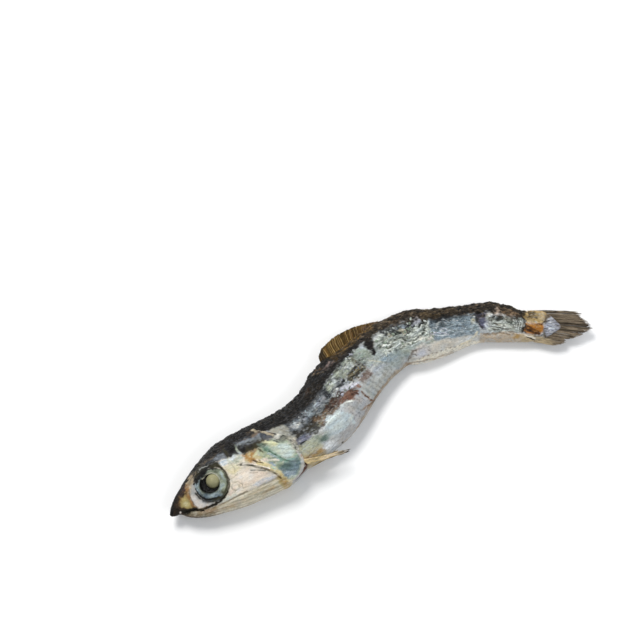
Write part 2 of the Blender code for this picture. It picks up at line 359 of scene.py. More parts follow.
def setLook(mesh, spots, colours, finishes):
    # spots in mm and the painted colour and finish of each vertex
    mesh.attributes.new("fishPlace", "FLOAT_VECTOR", "POINT").data.foreach_set("vector", flat(spots))
    opaque = np.ones((len(spots), 1))
    for name, values in (("paint", colours), ("finish", finishes)):
        layer = mesh.attributes.new(name, "FLOAT_COLOR", "POINT")
        layer.data.foreach_set("color", flat(np.concatenate([values, opaque], axis=1)))


def weld(mesh, distance=1e-7):
    bm = bmesh.new()
    bm.from_mesh(mesh)
    bmesh.ops.remove_doubles(bm, verts=bm.verts, dist=distance)
    bmesh.ops.dissolve_degenerate(bm, edges=bm.edges, dist=distance)
    bmesh.ops.recalc_face_normals(bm, faces=bm.faces)
    bm.to_mesh(mesh)
    bm.free()


def finishPiece(name, mesh, material):
    piece = bpy.data.objects.new(name, mesh)
    bpy.context.scene.collection.objects.link(piece)
    mesh.materials.append(material)
    mesh.shade_smooth()
    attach(piece, "root")
    return piece


def makePiece(name, mesh, points, spots, look, material):
    mesh.vertices.foreach_set("co", flat(points))
    setLook(mesh, spots, look["colour"], look["finish"])
    weld(mesh)
    return finishPiece(name, mesh, material)


# paint: marks are laid over each other, each with its own tone, edge and relief

tones = {
    # name: sRGB tone, roughness, metal
    "snoutBlack": ("30281f", 0.42, 0.0),
    "snoutBrown": ("54402f", 0.45, 0.0),
    "snoutYellow": ("a39562", 0.36, 0.0),
    "snoutGold": ("8c7144", 0.40, 0.0),
    "snoutPlum": ("4a3a40", 0.42, 0.0),
    "orbitWhite": ("c9c4be", 0.30, 0.0),
    "orbitGrey": ("9b9b98", 0.36, 0.05),
    "orbitLine": ("8e6a3e", 0.40, 0.0),
    "orbitDark": ("2c2519", 0.42, 0.0),
    "browBlack": ("141413", 0.34, 0.0),
    "browOlive": ("35321f", 0.38, 0.0),
    "crownBlack": ("171514", 0.40, 0.0),
    "crownDark": ("343333", 0.38, 0.05),
    "crownBrown": ("4b3b31", 0.44, 0.0),
    "crownPlum": ("555b63", 0.34, 0.15),
    "crownLavender": ("8a939c", 0.32, 0.2),
    "crownBlue": ("a0abb3", 0.28, 0.25),
    "paleStreak": ("a8987e", 0.40, 0.0),
    "cheekCream": ("ddd3c2", 0.38, 0.0),
    "cheekWhite": ("e8dfd2", 0.36, 0.0),
    "cheekYellow": ("c8c09a", 0.38, 0.0),
    "cheekPink": ("dccabb", 0.38, 0.0),
    "cheekGreen": ("90998a", 0.34, 0.1),
    "cheekGrey": ("a9a08c", 0.42, 0.0),
    "creaseGreen": ("3a4134", 0.42, 0.0),
    "creaseBrown": ("6d5638", 0.42, 0.0),
    "jawPale": ("b9b29b", 0.38, 0.0),
    "jawCream": ("cdc6b2", 0.36, 0.0),
    "jawTan": ("a39072", 0.42, 0.0),
    "jawBrown": ("80694a", 0.44, 0.0),
    "jawFront": ("75664f", 0.44, 0.0),
    "jawEdge": ("4d3b2b", 0.46, 0.0),
    "mouthDark": ("29261a", 0.44, 0.0),
    "silverLilac": ("b2b4be", 0.24, 0.25),
    "silverWhite": ("c8cbcb", 0.24, 0.25),
    "ridgeYellow": ("bdb084", 0.36, 0.0),
    "gillPale": ("949f8a", 0.32, 0.1),
    "gillOrange": ("9c7333", 0.36, 0.0),
    "gillGold": ("9c7130", 0.40, 0.0),
    "gillBrown": ("493722", 0.42, 0.0),
    "gillOlive": ("413c24", 0.42, 0.0),
    "gillGreen": ("b3b894", 0.32, 0.1),
    "gillMoss": ("58745e", 0.34, 0.15),
    "gillTeal": ("83a398", 0.30, 0.2),
    "gillWhite": ("c2cec7", 0.26, 0.15),
    "gillLemon": ("c9c9a2", 0.30, 0.05),
    "gillBlue": ("6a7c82", 0.30, 0.25),
    "gillDeep": ("51695f", 0.32, 0.2),
    "gillSky": ("95a5b0", 0.26, 0.2),
    "rimLilac": ("a5a4a0", 0.32, 0.05),
    "rimPink": ("a8917f", 0.42, 0.0),
    "rimBrown": ("6d4a3a", 0.46, 0.0),
    "napeBlack": ("131211", 0.42, 0.0),
    "napeTan": ("766553", 0.46, 0.0),
    "napeChip": ("a3977f", 0.42, 0.0),
    "shoulderGrey": ("98978b", 0.36, 0.1),
    "shoulderPale": ("cdcabd", 0.32, 0.1),
    "shoulderDark": ("62665c", 0.38, 0.1),
    "backBlack": ("141312", 0.44, 0.0),
    "backBlue": ("34393f", 0.38, 0.15),
    "backBrown": ("30281d", 0.50, 0.0),
    "backRust": ("54391f", 0.52, 0.0),
    "backTan": ("80705c", 0.52, 0.0),
    "backPink": ("8a7872", 0.50, 0.0),
    "backGold": ("46381f", 0.46, 0.0),
    "bandSilver": ("787e82", 0.30, 0.4),
    "bandWhite": ("bcbebb", 0.26, 0.3),
    "bandBlue": ("8f9da2", 0.28, 0.35),
    "bandDark": ("37352f", 0.36, 0.1),
    "bandHollow": ("454b50", 0.34, 0.25),
    "bandViolet": ("6f7284", 0.30, 0.3),
    "bandOlive": ("4c4738", 0.44, 0.05),
    "bandBrown": ("745c44", 0.46, 0.0),
    "fleshRed": ("8a6454", 0.50, 0.0),
    "fleshDark": ("5e3f33", 0.52, 0.0),
    "fleshPale": ("a58672", 0.50, 0.0),
    "fleshPink": ("76675c", 0.46, 0.05),
    "flakeGreen": ("929a8a", 0.28, 0.35),
    "flakeWhite": ("c6cbc7", 0.26, 0.25),
    "flakeLilac": ("b0b2bc", 0.26, 0.3),
    "oliveBrown": ("6d6045", 0.44, 0.05),
    "strawStreak": ("b0a684", 0.40, 0.05),
    "bellyGrey": ("a9adae", 0.34, 0.15),
    "bellyTeal": ("62746c", 0.34, 0.2),
    "bellySky": ("b7c3c4", 0.30, 0.2),
    "bellyWhite": ("d8dcde", 0.30, 0.15),
    "bellyGreen": ("adad8c", 0.36, 0.05),
    "bellyYellow": ("a8945f", 0.42, 0.0),
    "bellyOrange": ("a67f48", 0.42, 0.0),
    "bellyLilac": ("a7a4a2", 0.36, 0.15),
    "bellyEdge": ("9f8f78", 0.46, 0.0),
    "bellyRust": ("80603f", 0.48, 0.0),
    "ribPale": ("9ea09a", 0.36, 0.15),
    "ribWhite": ("ccd0cf", 0.30, 0.15),
    "crackOrange": ("8a592d", 0.48, 0.0),
    "sidePale": ("939b96", 0.30, 0.3),
    "sideGreen": ("8a9686", 0.30, 0.3),
    "sideBlue": ("8696a0", 0.28, 0.35),
    "foilPale": ("b5bcb2", 0.26, 0.35),
    "foilWhite": ("d3d9d4", 0.24, 0.2),
    "foilCream": ("b9b49e", 0.32, 0.1),
    "foilDark": ("3d453c", 0.36, 0.2),
    "spotDark": ("1b1514", 0.44, 0.0),
    "pocketBlue": ("262b33", 0.36, 0.15),
    "lobePale": ("b9b6ae", 0.38, 0.1),
    "lobeLilac": ("bebdc4", 0.34, 0.1),
    "lobeEdge": ("5f5549", 0.46, 0.0),
    "frillPink": ("e4ddcb", 0.44, 0.0),
    "frillDot": ("5f4a3a", 0.48, 0.0),
    "threadYellow": ("cfc4a4", 0.40, 0.0),
    "flankSteel": ("74838b", 0.28, 0.45),
    "flankDeep": ("39444b", 0.32, 0.35),
    "purple": ("504f63", 0.34, 0.2),
    "flankWhite": ("a9afa8", 0.28, 0.3),
    "flankLilac": ("a9abb8", 0.26, 0.3),
    "clumpPink": ("8a7d72", 0.48, 0.0),
    "tanBelly": ("b5a692", 0.44, 0.0),
    "goldBelly": ("a0814a", 0.44, 0.0),
    "rootTan": ("a8905f", 0.44, 0.0),
    "rootCream": ("b0a082", 0.42, 0.0),
    "rootSpeck": ("352818", 0.50, 0.0),
    "rootOrange": ("a36b2a", 0.38, 0.0),
    "rootRust": ("5a3410", 0.42, 0.0),
    "rootWhite": ("d3cbbb", 0.36, 0.0),
    "rootLavender": ("a0a3ae", 0.30, 0.25),
    "irisGreen": ("8b927f", 0.30, 0.15),
    "irisBlue": ("6a7880", 0.28, 0.25),
    "irisPale": ("9aa9ad", 0.26, 0.15),
    "irisDeep": ("4c5961", 0.30, 0.25),
    "irisMoss": ("5f6656", 0.34, 0.10),
    "irisRimHighlight": ("c9c7b4", 0.30, 0.0),
    "pupilBlack": ("070706", 0.22, 0.0),
    "lensOlive": ("97936f", 0.34, 0.0),
    "finGold": ("7a5c2e", 0.42, 0.0),
    "finStraw": ("a98f5c", 0.42, 0.0),
    "finOlive": ("5b4a26", 0.44, 0.0),
    "finTan": ("8f7452", 0.44, 0.0),
    "finCream": ("d8c49b", 0.40, 0.0),
    "finPink": ("d9cab2", 0.42, 0.0),
    "finDark": ("2c241a", 0.46, 0.0),
    "rayDark": ("3c342a", 0.46, 0.0),
    "rayBrown": ("6b5f4f", 0.44, 0.0),
    "rayTan": ("948570", 0.42, 0.0),
    "rayGrey": ("858585", 0.38, 0.1),
}


def mark(tone, edge=0.25, ragged=0.25, amount=1.0, depth=0.0, **more):
    return {"tone": tone, "edge": edge, "ragged": ragged, "amount": amount, "depth": depth, **more}


def inPairs(numbers):
    return np.reshape(numbers, (-1, 2)).tolist()


def patch(tone, points, *rest, **more):
    return mark(tone, *rest, patch=inPairs(points), **more)


def streak(tone, width, points, *rest, **more):
    return mark(tone, *rest, line=inPairs(points), width=width, **more)


def blob(tone, centre, reach, turn=0, *rest, **more):
    return mark(tone, *rest, blob=centre, reach=reach, turn=turn, **more)


def band(tone, span, low, high, *rest, **more):
    return mark(tone, *rest, span=span, low=inPairs(low), high=inPairs(high), **more)


def several(kind, tone, *rows, **more):
    return [kind(tone, *row, **more) for row in rows]


def markShare(mark, look):
    # how much of a mark lies on each spot, from 0 to 1
    ragged, edge = mark["ragged"], mark["edge"]
    along = look["along"] + ragged * (look["warpA"] + 0.5 * look["warpC"])
    height = look["height"] + ragged * (look["warpB"] + 0.5 * look["warpD"])
    soft = 0.14 * look["warpC"]
    if "patch" in mark:
        points = mark["patch"]
        distance = lineDistance(points + points[:1], along, height)
        depth = np.where(insideOutline(points, along, height), distance, -distance)
        share = fade(depth + soft, -edge, edge)
    elif "line" in mark:
        share = fade(lineDistance(mark["line"], along, height), mark["width"] / 2 + edge, mark["width"] / 2)
        if "solid" not in mark:
            share = share * look["stroke"]
    elif "blob" in mark:
        (s, h), (reachAlong, reachAcross) = mark["blob"], mark["reach"]
        c, d = math.cos(math.radians(mark["turn"])), math.sin(math.radians(mark["turn"]))
        a, b = along - s, height - h
        away = np.hypot((a * c + b * d) / reachAlong, (b * c - a * d) / reachAcross)
        share = fade(away, 1 + edge, max(0.0, 1 - edge))
    else:
        start, end = mark["span"]
        low, high = through(mark["low"], along), through(mark["high"], along)
        share = fade(height, low - edge, low + edge) * fade(height, high + edge, high - edge)
        share = share * fade(along, start - edge, start + edge) * fade(along, end + edge, end - edge)
    if "leftOnly" in mark:
        share = share * fade(look["side"], -0.6, 0.6)
    if "flanks" in mark:
        share = share * fade(np.abs(look["side"]), 0.1, 0.7)
    if "broken" in mark:
        share = share * look[mark["broken"]]
    if "line" not in mark and "solid" not in mark:
        share = share * look["worn"]
    return share * mark["amount"]


def layTone(look, share, tone):
    look["colour"] += share[:, None] * (tone - look["colour"])


def layMarks(marks, look):
    for mark in marks:
        share = markShare(mark, look)
        tone, rough, metal = tones[mark["tone"]]
        layTone(look, share, linear(tone))
        look["finish"] += share[:, None] * (np.array((rough, metal, 0.0)) - look["finish"])
        look["relief"] += share * mark["depth"]


under = ((0, -20), (100, -20))
above = ((0, 20), (100, 20))
lipLine = ((0, -0.9), (2.0, -1.2), (4.5, -2.2), (6.2, -3.5), (9, -4.0), (15, -4.3), (23, -4.8), (26, -5.0))
napeLine = (
    (-3, -0.4), (1.9, 0.2), (2.6, 1.5), (4.6, 2.3), (6.4, 2.9), (8.0, 2.6), (9.2, 3.5), (11, 4.0),
    (13.4, 3.9), (16, 3.7), (18.4, 3.1), (22, 2.7), (24, 3.3), (26.5, 2.9), (28, 4.4), (31, 4.0),
)
crownLine = (
    (-3, 0.4), (2.2, 1.5), (5, 3.1), (7, 4.1), (9, 5.1), (12, 5.7), (16, 6.0), (20, 6.2), (22.5, 6.5),
    (26, 5.4), (28, 4.8), (31, 4.2),
)

headMarks = [
    # undertones of jaw, gill cover, shoulder and nape
    band("jawPale", (1.5, 25), under, lipLine, 0.3),
    patch("gillPale", (20.8, 2.6, 24, 2.9, 29, 2.6, 29.6, -2.6, 27.8, -6, 25, -6.8, 23.4, -3), 0.4),
    patch("shoulderGrey", (26.2, 4.8, 30.8, 4.6, 31, -2.4, 28.9, -2.8, 28.4, 0.6, 26.2, 2), 0.4),
    band("crownDark", (-3, 31), napeLine, above, 0.35, 0.35, solid=True),
    band("crownBlack", (-3, 31), crownLine, above, 0.4, 0.4, solid=True),
    # jaw
    patch("jawFront", (1.8, -1, 3.6, -2, 5.6, -3.2, 8.5, -3.9, 8.5, -5.6, 4.8, -4.6, 2.2, -3), 0.7, 0.25,
        0.85),
    patch("jawTan", (5, -3.4, 9, -4.1, 13, -4.5, 13, -6.6, 8, -5.6), 0.8, 0.25, 0.55),
    streak("jawEdge", 0.24, (2, -1.3, 2.6, -2.8, 3.8, -3.9, 5.3, -4.7), 0.26, 0.12, 0.75, solid=True),
    streak("jawBrown", 0.14, (4.6, -2.5, 6.6, -3.75, 9.2, -4.25, 12.5, -4.4, 16, -4.4), 0.25, 0.12, 0.7,
        -0.07),
    streak("rimPink", 0.14, (5.2, -3.2, 8.2, -4.7, 11.6, -5.35, 16, -5.6), 0.3, 0.12, 0.4),
    *several(streak, "jawBrown",
        (0.08, (4.6, -3.5, 8, -5, 12, -5.9, 17, -6.3, 22, -6.4), 0.22, 0.15, 0.4, -0.04),
        (0.08, (7, -4.35, 11, -4.95, 15, -5.1, 21, -5.35), 0.2, 0.15, 0.3, -0.03)),
    *several(streak, "jawCream",
        (0.3, (9, -4.55, 13, -4.8, 17.5, -4.85), 0.4, 0.25, 0.5),
        (0.35, (8, -5.35, 12, -6.15, 17, -6.6, 21, -6.9), 0.35, 0.25, 0.7)),
    *several(blob, "jawTan",
        ((20.3, -6.1), (1.4, 0.35), -4, 0.5, 0.25, 0.8), ((17.2, -5.4), (1.8, 0.25), -4, 0.6, 0.25, 0.5)),
    streak("jawEdge", 0.18, (4.6, -4.4, 6.6, -5.2, 8, -5.6, 9.2, -5.9), 0.26, 0.3, 0.5),
    streak("jawEdge", 0.2, (7.4, -5.4, 9.4, -5.95, 12, -6.6, 14.5, -7.1), 0.24, 0.12, 0.75, flanks=True),
    streak("bellyEdge", 0.3, (14.5, -7.2, 18, -7.7, 23, -8), 0.25, 0.25, 0.7),
    # the jaw bone's silver upper edge
    patch("gillWhite", (9.5, -3.5, 12.5, -3.3, 14, -3.5, 14, -4.2, 11, -4.1), 0.25, 0.25, 0.55),
    patch("silverLilac", (17.6, -3.7, 20, -3.5, 22, -3.8, 23, -4.5, 21.4, -4.75, 18.8, -4.6), 0.3, 0.25,
        0.7, 0.06),
    *several(streak, "cheekGrey",
        (0.1, (14, -4.25, 17.4, -4.85, 22.6, -5.05), 0.2, 0.25, 0.6, -0.05),
        (0.08, (12.4, -3.2, 14.8, -3.35, 17.4, -3.55), 0.16, 0.25, 0.6, -0.05)),
    # a painted highlight along the silver edge of the jaw bone
    streak("silverWhite", 0.2, (18.4, -3.95, 20, -3.85, 21.8, -4.15), 0.25, 0.25, 0.7),
    # cheek
    patch("cheekYellow", (14.4, 2.4, 15.6, 2.2, 17.2, 1.5, 17.4, 0.5, 15.6, 0.1, 14.6, 0.8), 0.45, 0.25,
        0.85),
    patch("cheekGrey", (14.2, 2.4, 15, 2.2, 14.8, 0, 14.4, -1, 14.1, 0.2), 0.35, 0.25, 0.45),
    patch("cheekPink", (15.4, -0.6, 18, -0.2, 20.4, -1.8, 22.2, -3.4, 18.5, -3.4, 15.6, -3.1), 0.6, 0.25,
        0.7),
    blob("cheekWhite", (17.3, -1.6), (1.8, 1.1), -10, 0.6, 0.25, 0.9),
    blob("cheekPink", (13.4, -2.9), (1.2, 0.35), 25, 0.5, 0.25, 0.9),
    *several(streak, "cheekGrey",
        (0.08, (13.9, -0.5, 15.2, -0.35, 16.2, -0.15), 0.12, 0.25, 0.6, -0.04),
        (0.08, (16.1, 2.3, 16.2, 1.2, 15.7, 0.4), 0.12, 0.25, 0.6, -0.04),
        (0.12, (15.6, -3.1, 15.75, -2.3, 15.2, -1.6, 14.4, -1.45, 13.8, -1.9, 13.75, -2.6, 14.3, -3.2),
            0.18, 0.25, 0.7, -0.07),
        (0.08, (15.1, -2.9, 15.2, -2.3, 14.8, -1.95, 14.3, -2.2), 0.16, 0.25, 0.6, -0.05)),
    # a painted highlight along the cheek's lower border
    streak("cheekWhite", 0.1, (14.2, -3.35, 15.2, -3.3, 16, -2.9), 0.12, 0.1, 0.9),
    # the creases over the cheek, then the yellow ridge
    patch("ridgeYellow", (20.6, 0.6, 21.6, 0.2, 22.9, -1.8, 24, -3.8, 24.4, -5.6, 23.6, -5.6, 22.8, -3.8,
        21.6, -2.2, 20.4, -0.6), 0.3, 0.25, 1, 0.12),
    patch("bellyYellow", (22.7, -4.6, 23.8, -4.4, 24.6, -5.8, 24.6, -7.4, 23.8, -8.2, 22.6, -7.8, 22.5, -6),
        0.4, 0.25, 0.85),
    blob("bellyOrange", (23.5, -6.6), (0.5, 1), 0, 0.6, 0.25, 0.6),
    *several(streak, "creaseGreen",
        (0.16, (17.6, 1.1, 18.6, 0.5, 19.6, -0.1, 20.4, -0.95, 21, -1.6), 0.22, 0.15, 0.85, -0.12),
        (0.08, (16.9, 1.4, 18.2, 1.25, 19.2, 0.75, 20.2, -0.1), 0.16, 0.15, 0.55, -0.06),
        (0.1, (18.9, -0.85, 20.2, -1.6, 21.3, -2.35), 0.2, 0.15, 0.65, -0.08)),
    # a painted highlight along the ridge over the cheek
    streak("cheekWhite", 0.16, (18, 1, 19.3, 0.55, 20.4, -0.4, 21.5, -1.6, 22.3, -2.4), 0.12, 0.08, 1,
        0.08),
    *several(streak, "creaseBrown",
        (0.1, (18.5, -1.2, 19.8, -1.9), 0.18, 0.15, 0.45, -0.04),
        (0.12, (20.9, -1.4, 22.2, -2.8, 22.9, -4, 23.3, -5.2), 0.22, 0.15, 0.75, -0.12)),
    streak("creaseGreen", 0.08, (21.4, -2.2, 22.3, -3.1, 22.8, -3.9), 0.18, 0.15, 0.5),
    # gill cover
    patch("gillGreen", (21.8, 2.3, 23.6, 2.4, 24.2, 0.8, 23.6, -0.2, 22.6, -0.2), 0.4, 0.25, 0.9),
    patch("gillOrange", (18.7, 1.2, 18.9, 2.5, 20.6, 2.8, 22.2, 2.4, 21.6, 1.3, 20.6, 0.6, 19.6, 0.5), 0.5,
        0.3, 0.9, solid=True),
    blob("gillGold", (19.7, 1.5), (0.5, 0.45), -30, 0.7, 0.4, 0.7),
    patch("gillOlive", (18.6, 2.8, 20.4, 3.7, 22.6, 3.5, 23.6, 2.7, 22.4, 2.1, 21, 2.5, 19.6, 2.5), 0.4,
        0.5, 0.9, solid=True),
    *[blob(tone, centre, (0.6, 0.3), turn, 0.7, 0.6, 0.85, solid=True) for tone, centre, turn in
        (("ridgeYellow", (20.3, 2.1), 10), ("gillGold", (19.3, 2.3), -20), ("gillBrown", (21, 2.3), 0),
        ("gillGold", (20.6, 1.3), -30), ("ridgeYellow", (19.1, 1), 30), ("jawTan", (21.4, 2.1), -10),
        ("gillOlive", (22.6, 1.6), -50), ("gillPale", (23, 0.6), 0), ("cheekPink", (22.7, -0.2), -30),
        ("gillSky", (23.2, -1.8), -50), ("gillTeal", (22.9, -2.7), -50))],
    blob("gillLemon", (21.4, 1.5), (0.85, 0.3), 14, 0.5, 0.25, 0.9),
    blob("ridgeYellow", (21.6, 0.8), (0.8, 0.3), -30, 0.5, 0.25, 0.9),
    streak("gillBrown", 0.22, (20.1, 0.95, 20.8, 0.4, 21.4, -0.1, 21.7, -0.6), 0.22, 0.45, 0.85, -0.06),
    blob("gillBrown", (21.6, 0.2), (0.2, 0.2), 0, 0.6, 0.25, 0.7),
    patch("gillTeal", (22.9, 3.2, 23.8, 3, 24.4, 1.2, 25.3, -0.6, 26, -2, 27.4, -2.9, 28.4, -2.9, 27.4,
        -3.6, 25.8, -3.2, 25, -2.2, 24.2, -0.2, 23.4, 1), 0.45, 0.3, 0.85),
    blob("gillMoss", (23.7, 1.4), (0.5, 0.55), 0, 0.7, 0.4, 0.8),
    streak("gillMoss", 0.18, (24.1, 0.7, 24.9, -0.6, 25.6, -2, 26.6, -3.1), 0.2, 0.2, 0.85, -0.06),
    streak("gillSky", 0.2, (23.6, 0.5, 24.4, -0.4, 24.9, -1.4), 0.25, 0.25, 0.6),
    patch("gillWhite", (24.9, 0.9, 26.6, 0.9, 27.9, 0.2, 28.5, -1, 28.6, -2.1, 27.6, -2.6, 26.4, -2.3, 25.6,
        -1), 0.4, 0.2, 0.9, solid=True),
    patch("gillLemon", (23.7, 3.1, 24.6, 3.1, 26.3, 1.6, 26.6, 0.9, 25.6, 0.9, 24.6, 2), 0.25, 0.2, 0.9,
        0.07),
    streak("shoulderDark", 0.12, (24.6, 3.2, 25.8, 2.3, 26.8, 1.2), 0.15, 0.2, 0.8, -0.06),
    patch("gillGreen", (24.9, 0.8, 26.2, 0.8, 26.2, -0.4, 25.4, -0.4), 0.4, 0.25, 0.5),
    streak("cheekWhite", 0.14, (22.9, -0.7, 24, -1.2, 24.9, -1.8), 0.18, 0.2, 0.7),
    patch("gillBlue", (24.2, -3.4, 25.4, -3, 27.6, -3.5, 28.4, -3.2, 28.2, -4.6, 27.2, -5.6, 25.6, -6.2,
        24.6, -5.8, 24, -4.6), 0.35, 0.2, solid=True),
    patch("gillDeep", (23.9, -2.4, 25, -2.8, 26.6, -3.4, 26.4, -4.3, 25.2, -4.3, 24.4, -3.6), 0.45, 0.35,
        0.7, solid=True),
    blob("gillSky", (25.3, -5.2), (1, 0.42), -28, 0.6, 0.25, 0.95),
    blob("gillWhite", (25.6, -6.1), (0.9, 0.25), -18, 0.5, 0.25, 0.7),
    blob("gillDeep", (27.7, -4.2), (0.5, 0.8), -20, 0.6, 0.25, 0.5),
    streak("rimLilac", 0.4, (28.9, -2.4, 28.8, -4, 28.1, -5.4, 26.8, -6.4, 25.2, -6.9), 0.18, 0.12, 1,
        0.08),
    streak("rimPink", 0.2, (29.1, -3.4, 28.9, -4.8, 28.2, -6, 26.8, -6.9), 0.16, 0.15, 0.9),
    # shoulder lumps behind the gill cover
    patch("shoulderDark", (26.8, 1.9, 28.4, 1.9, 30.2, 2.1, 30, 1.1, 28.2, 0.7, 27, 1.1), 0.3, 0.5, 0.8),
    patch("shoulderPale", (27.2, 3.9, 28.6, 3.8, 28.9, 2.6, 27.6, 2.3, 26.9, 2.9), 0.25, 0.5, 0.9),
    patch("shoulderPale", (28.6, 0.9, 29.8, 0.7, 30.2, -1.2, 29.4, -2.6, 28.8, -1.2), 0.3, 0.6,
        broken="blotch"),
    patch("cheekCream", (29, 3.4, 29.9, 2.6, 29.8, 0.4, 29.1, 1), 0.3, 0.5, 0.6),
    *[streak("spotDark", 0.2, line, 0.3, 0.7, 0.75, -0.08) for line in (((26.4, 4.6), (27.4, 4.9), (28.8,
        4.5), (29.8, 4.2)), ((26.2, 3.6), (27, 3.2), (28.2, 3.3)), ((28.9, 3.6), (29.3, 2.5)), ((26.6, 2.1),
        (27.8, 1.7), (29.6, 1.8)), ((29.7, 1.3), (29.9, -0.4)))],
    *[blob("cheekCream", centre, (0.5, 0.25), turn, 0.6, 0.6, 0.7) for centre, turn in (((27, 2.5), -20),
        ((28.4, 2.6), 10), ((28.9, 0.2), 70), ((27.7, 3.8), 0))],
    streak("shoulderDark", 0.12, (28.3, 1, 28.9, 0.2, 29, -1.2, 29.3, -2.4), 0.12, 0.5, 0.8, -0.1),
    # nape and crown
    patch("gillOlive", (21.2, 3.7, 23.6, 3.5, 24.4, 2.5, 23.7, 1.7, 22.8, 2.1, 21.6, 2.8), 0.5, 0.5, 0.6),
    patch("crownLavender", (13.4, 5, 15.6, 4.9, 15.8, 4, 13.8, 3.9, 12.8, 4.3), 0.45, 0.4, 0.75),
    *several(patch, "crownPlum",
        ((18.4, 5.9, 21, 6, 24.2, 5, 25.4, 4, 24.2, 3.9, 21.4, 4.2, 18.8, 4.7), 0.45, 0.5, 0.85),
        ((13.6, 4.5, 15.8, 4.5, 15.8, 3.9, 13.8, 3.9), 0.3, 0.3, 0.6),
        ((10.6, 4.6, 12.8, 5.2, 13.4, 4.7, 11.4, 4.2), 0.45, 0.5, 0.8)),
    streak("crownLavender", 0.8, (19, 5.2, 20.6, 4.9, 22.4, 4.6, 23.8, 4.3), 0.4, 0.5, 0.65),
    streak("shoulderDark", 0.3, (18.6, 5, 20.2, 4.7, 22.2, 4.5, 23.8, 4), 0.35, 0.5, 0.45),
    *several(streak, "backTan",
        (0.08, (18.8, 5.5, 20.4, 5.6, 21.6, 5.3), 0.2, 0.4, 0.4),
        (0.1, (10.4, 4.8, 11.8, 5.3, 13.6, 5.3, 15.4, 5.4), 0.25, 0.4, 0.45)),
    streak("napeBlack", 0.12, (19, 4.5, 20.8, 4.6, 22.6, 4.2), 0.2, 0.5, 0.7, -0.06),
    blob("gillOlive", (23.2, 3.5), (1.4, 0.4), -6, 0.5, 0.5, 0.8),
    *several(blob, "napeBlack",
        ((19.7, 3.7), (0.6, 0.42), 0, 0.4), ((21.5, 3.5), (0.5, 0.25), 0, 0.5, 0.4, 0.7)),
    blob("crownPlum", (25.4, 3.4), (0.9, 0.5), -30, 0.5, 0.4, 0.9),
    streak("cheekGreen", 0.2, (18.4, 5.4, 18.4, 4.4, 18.8, 3.3), 0.2, 0.2, 0.9),
    *several(patch, "napeBlack",
        ((16.7, 6.1, 18.4, 6.1, 18.4, 4.9, 17.8, 4.2, 16.9, 4.4), 0.2, 0.25, 1, -0.14),
        ((13.6, 6.5, 15.6, 6.5, 15.6, 5.5, 13.8, 5.3), 0.3, 0.3)),
    patch("crownBlue", (13.6, 3.8, 15.7, 3.8, 15.6, 2.7, 14.3, 2.6), 0.25, 0.3),
    patch("cheekGreen", (16.2, 3.6, 18.2, 3.4, 18.9, 2, 17.9, 1.5, 16.6, 2), 0.4, 0.4, 0.9),
    blob("cheekGreen", (15.95, 2.9), (0.35, 0.9), 0, 0.5, 0.4, 0.8),
    *several(blob, "crownBlue",
        ((16.9, 3.3), (0.9, 0.3), 0, 0.5, 0.5, 0.8), ((18.7, 3.3), (0.35, 0.35), 0, 0.5, 0.4, 0.7)),
    patch("crownBrown", (15.3, 7.4, 16.4, 7.4, 16.5, 6.1, 15.6, 5.8), 0.3, 0.5, 0.7),
    streak("gillOlive", 0.35, (16.1, 6.4, 16.2, 5.2, 16.4, 4.2), 0.3, 0.3, 0.7),
    patch("napeTan", (22.4, 5.5, 23.4, 5.9, 24.6, 5.3, 24.8, 4.7, 23.6, 4.6, 22.6, 5), 0.35, 0.45, 0.85,
        0.06),
    streak("napeTan", 0.2, (22, 6.4, 23, 6.5, 23.7, 6.2), 0.25, 0.45, 0.9, 0.05),
    *several(streak, "napeChip",
        (0.4, (23.2, 6.4, 24.2, 5.6, 25, 4.9, 25.8, 4, 26.3, 3.3), 0.22, 0.4, 0.95, 0.12),
        (0.2, (25, 4.6, 25.6, 4.6, 26.4, 4.2), 0.25, 0.4, 0.7, 0.05)),
    streak("backPink", 0.2, (25, 5.4, 26, 4.5, 26.6, 3.8), 0.2, 0.3, 0.7),
    # snout
    patch("snoutBrown", (-1, 3, 6.4, 4.2, 6.2, 2.6, 5.4, 0.8, 5, -2.2, 2.4, -1.6, -1, -1), 0.4, 0.3,
        solid=True),
    patch("snoutGold", (2.4, 0.8, 3.8, 1.8, 5.3, 2.2, 5.2, 0.6, 4.8, -1.8, 3.2, -0.9), 0.5, 0.35, 0.85,
        solid=True),
    patch("snoutYellow", (2.5, 0.3, 3.3, 1.1, 4.6, 1.6, 4.7, 0, 4.2, -1.3, 3.3, -0.6), 0.4, solid=True),
    blob("cheekYellow", (3.7, 0.1), (0.55, 0.4), -30, 0.6, 0.25, 0.7),
    patch("snoutPlum", (3.4, 2.4, 6.4, 3.4, 5.9, 2.6, 4.2, 1.9), 0.3, 0.5, 0.8),
    blob("snoutBlack", (4.6, 1.9), (0.5, 0.25), 30, 0.5, 0.5, 0.8),
    patch("snoutBlack", (-1, 2, 2.4, 2.6, 2.9, 1.7, 2.2, 0.8, 2, -0.4, 1.2, -1.4, -1, -1), 0.3, 0.2),
    blob("snoutBrown", (2, 0.9), (0.45, 0.25), 60, 0.5, 0.4, 0.7),
    patch("mouthDark", (1.6, -0.2, 2.4, -0.3, 3.4, -1, 4.6, -1.5, 4.4, -2.3, 3, -2.1, 1.9, -1.6), 0.3, 0.25,
        1, -0.12, solid=True),
    streak("mouthDark", 0.1, (4.3, -1.9, 4.9, -2.6, 6, -3.4), 0.16, 0.12, 1, -0.1),
    blob("orbitWhite", (1.65, -0.6), (0.22, 0.2), 0, 0.5, 0.05, 1, 0.08),
    # around the eye
    patch("orbitWhite", (7.2, 2.8, 6, 2, 5.3, 0.6, 5, -0.8, 5.4, -2, 6.4, -2.9, 8.2, -3.1, 9.6, -2.6, 9, 2),
        0.3, 0.15, solid=True),
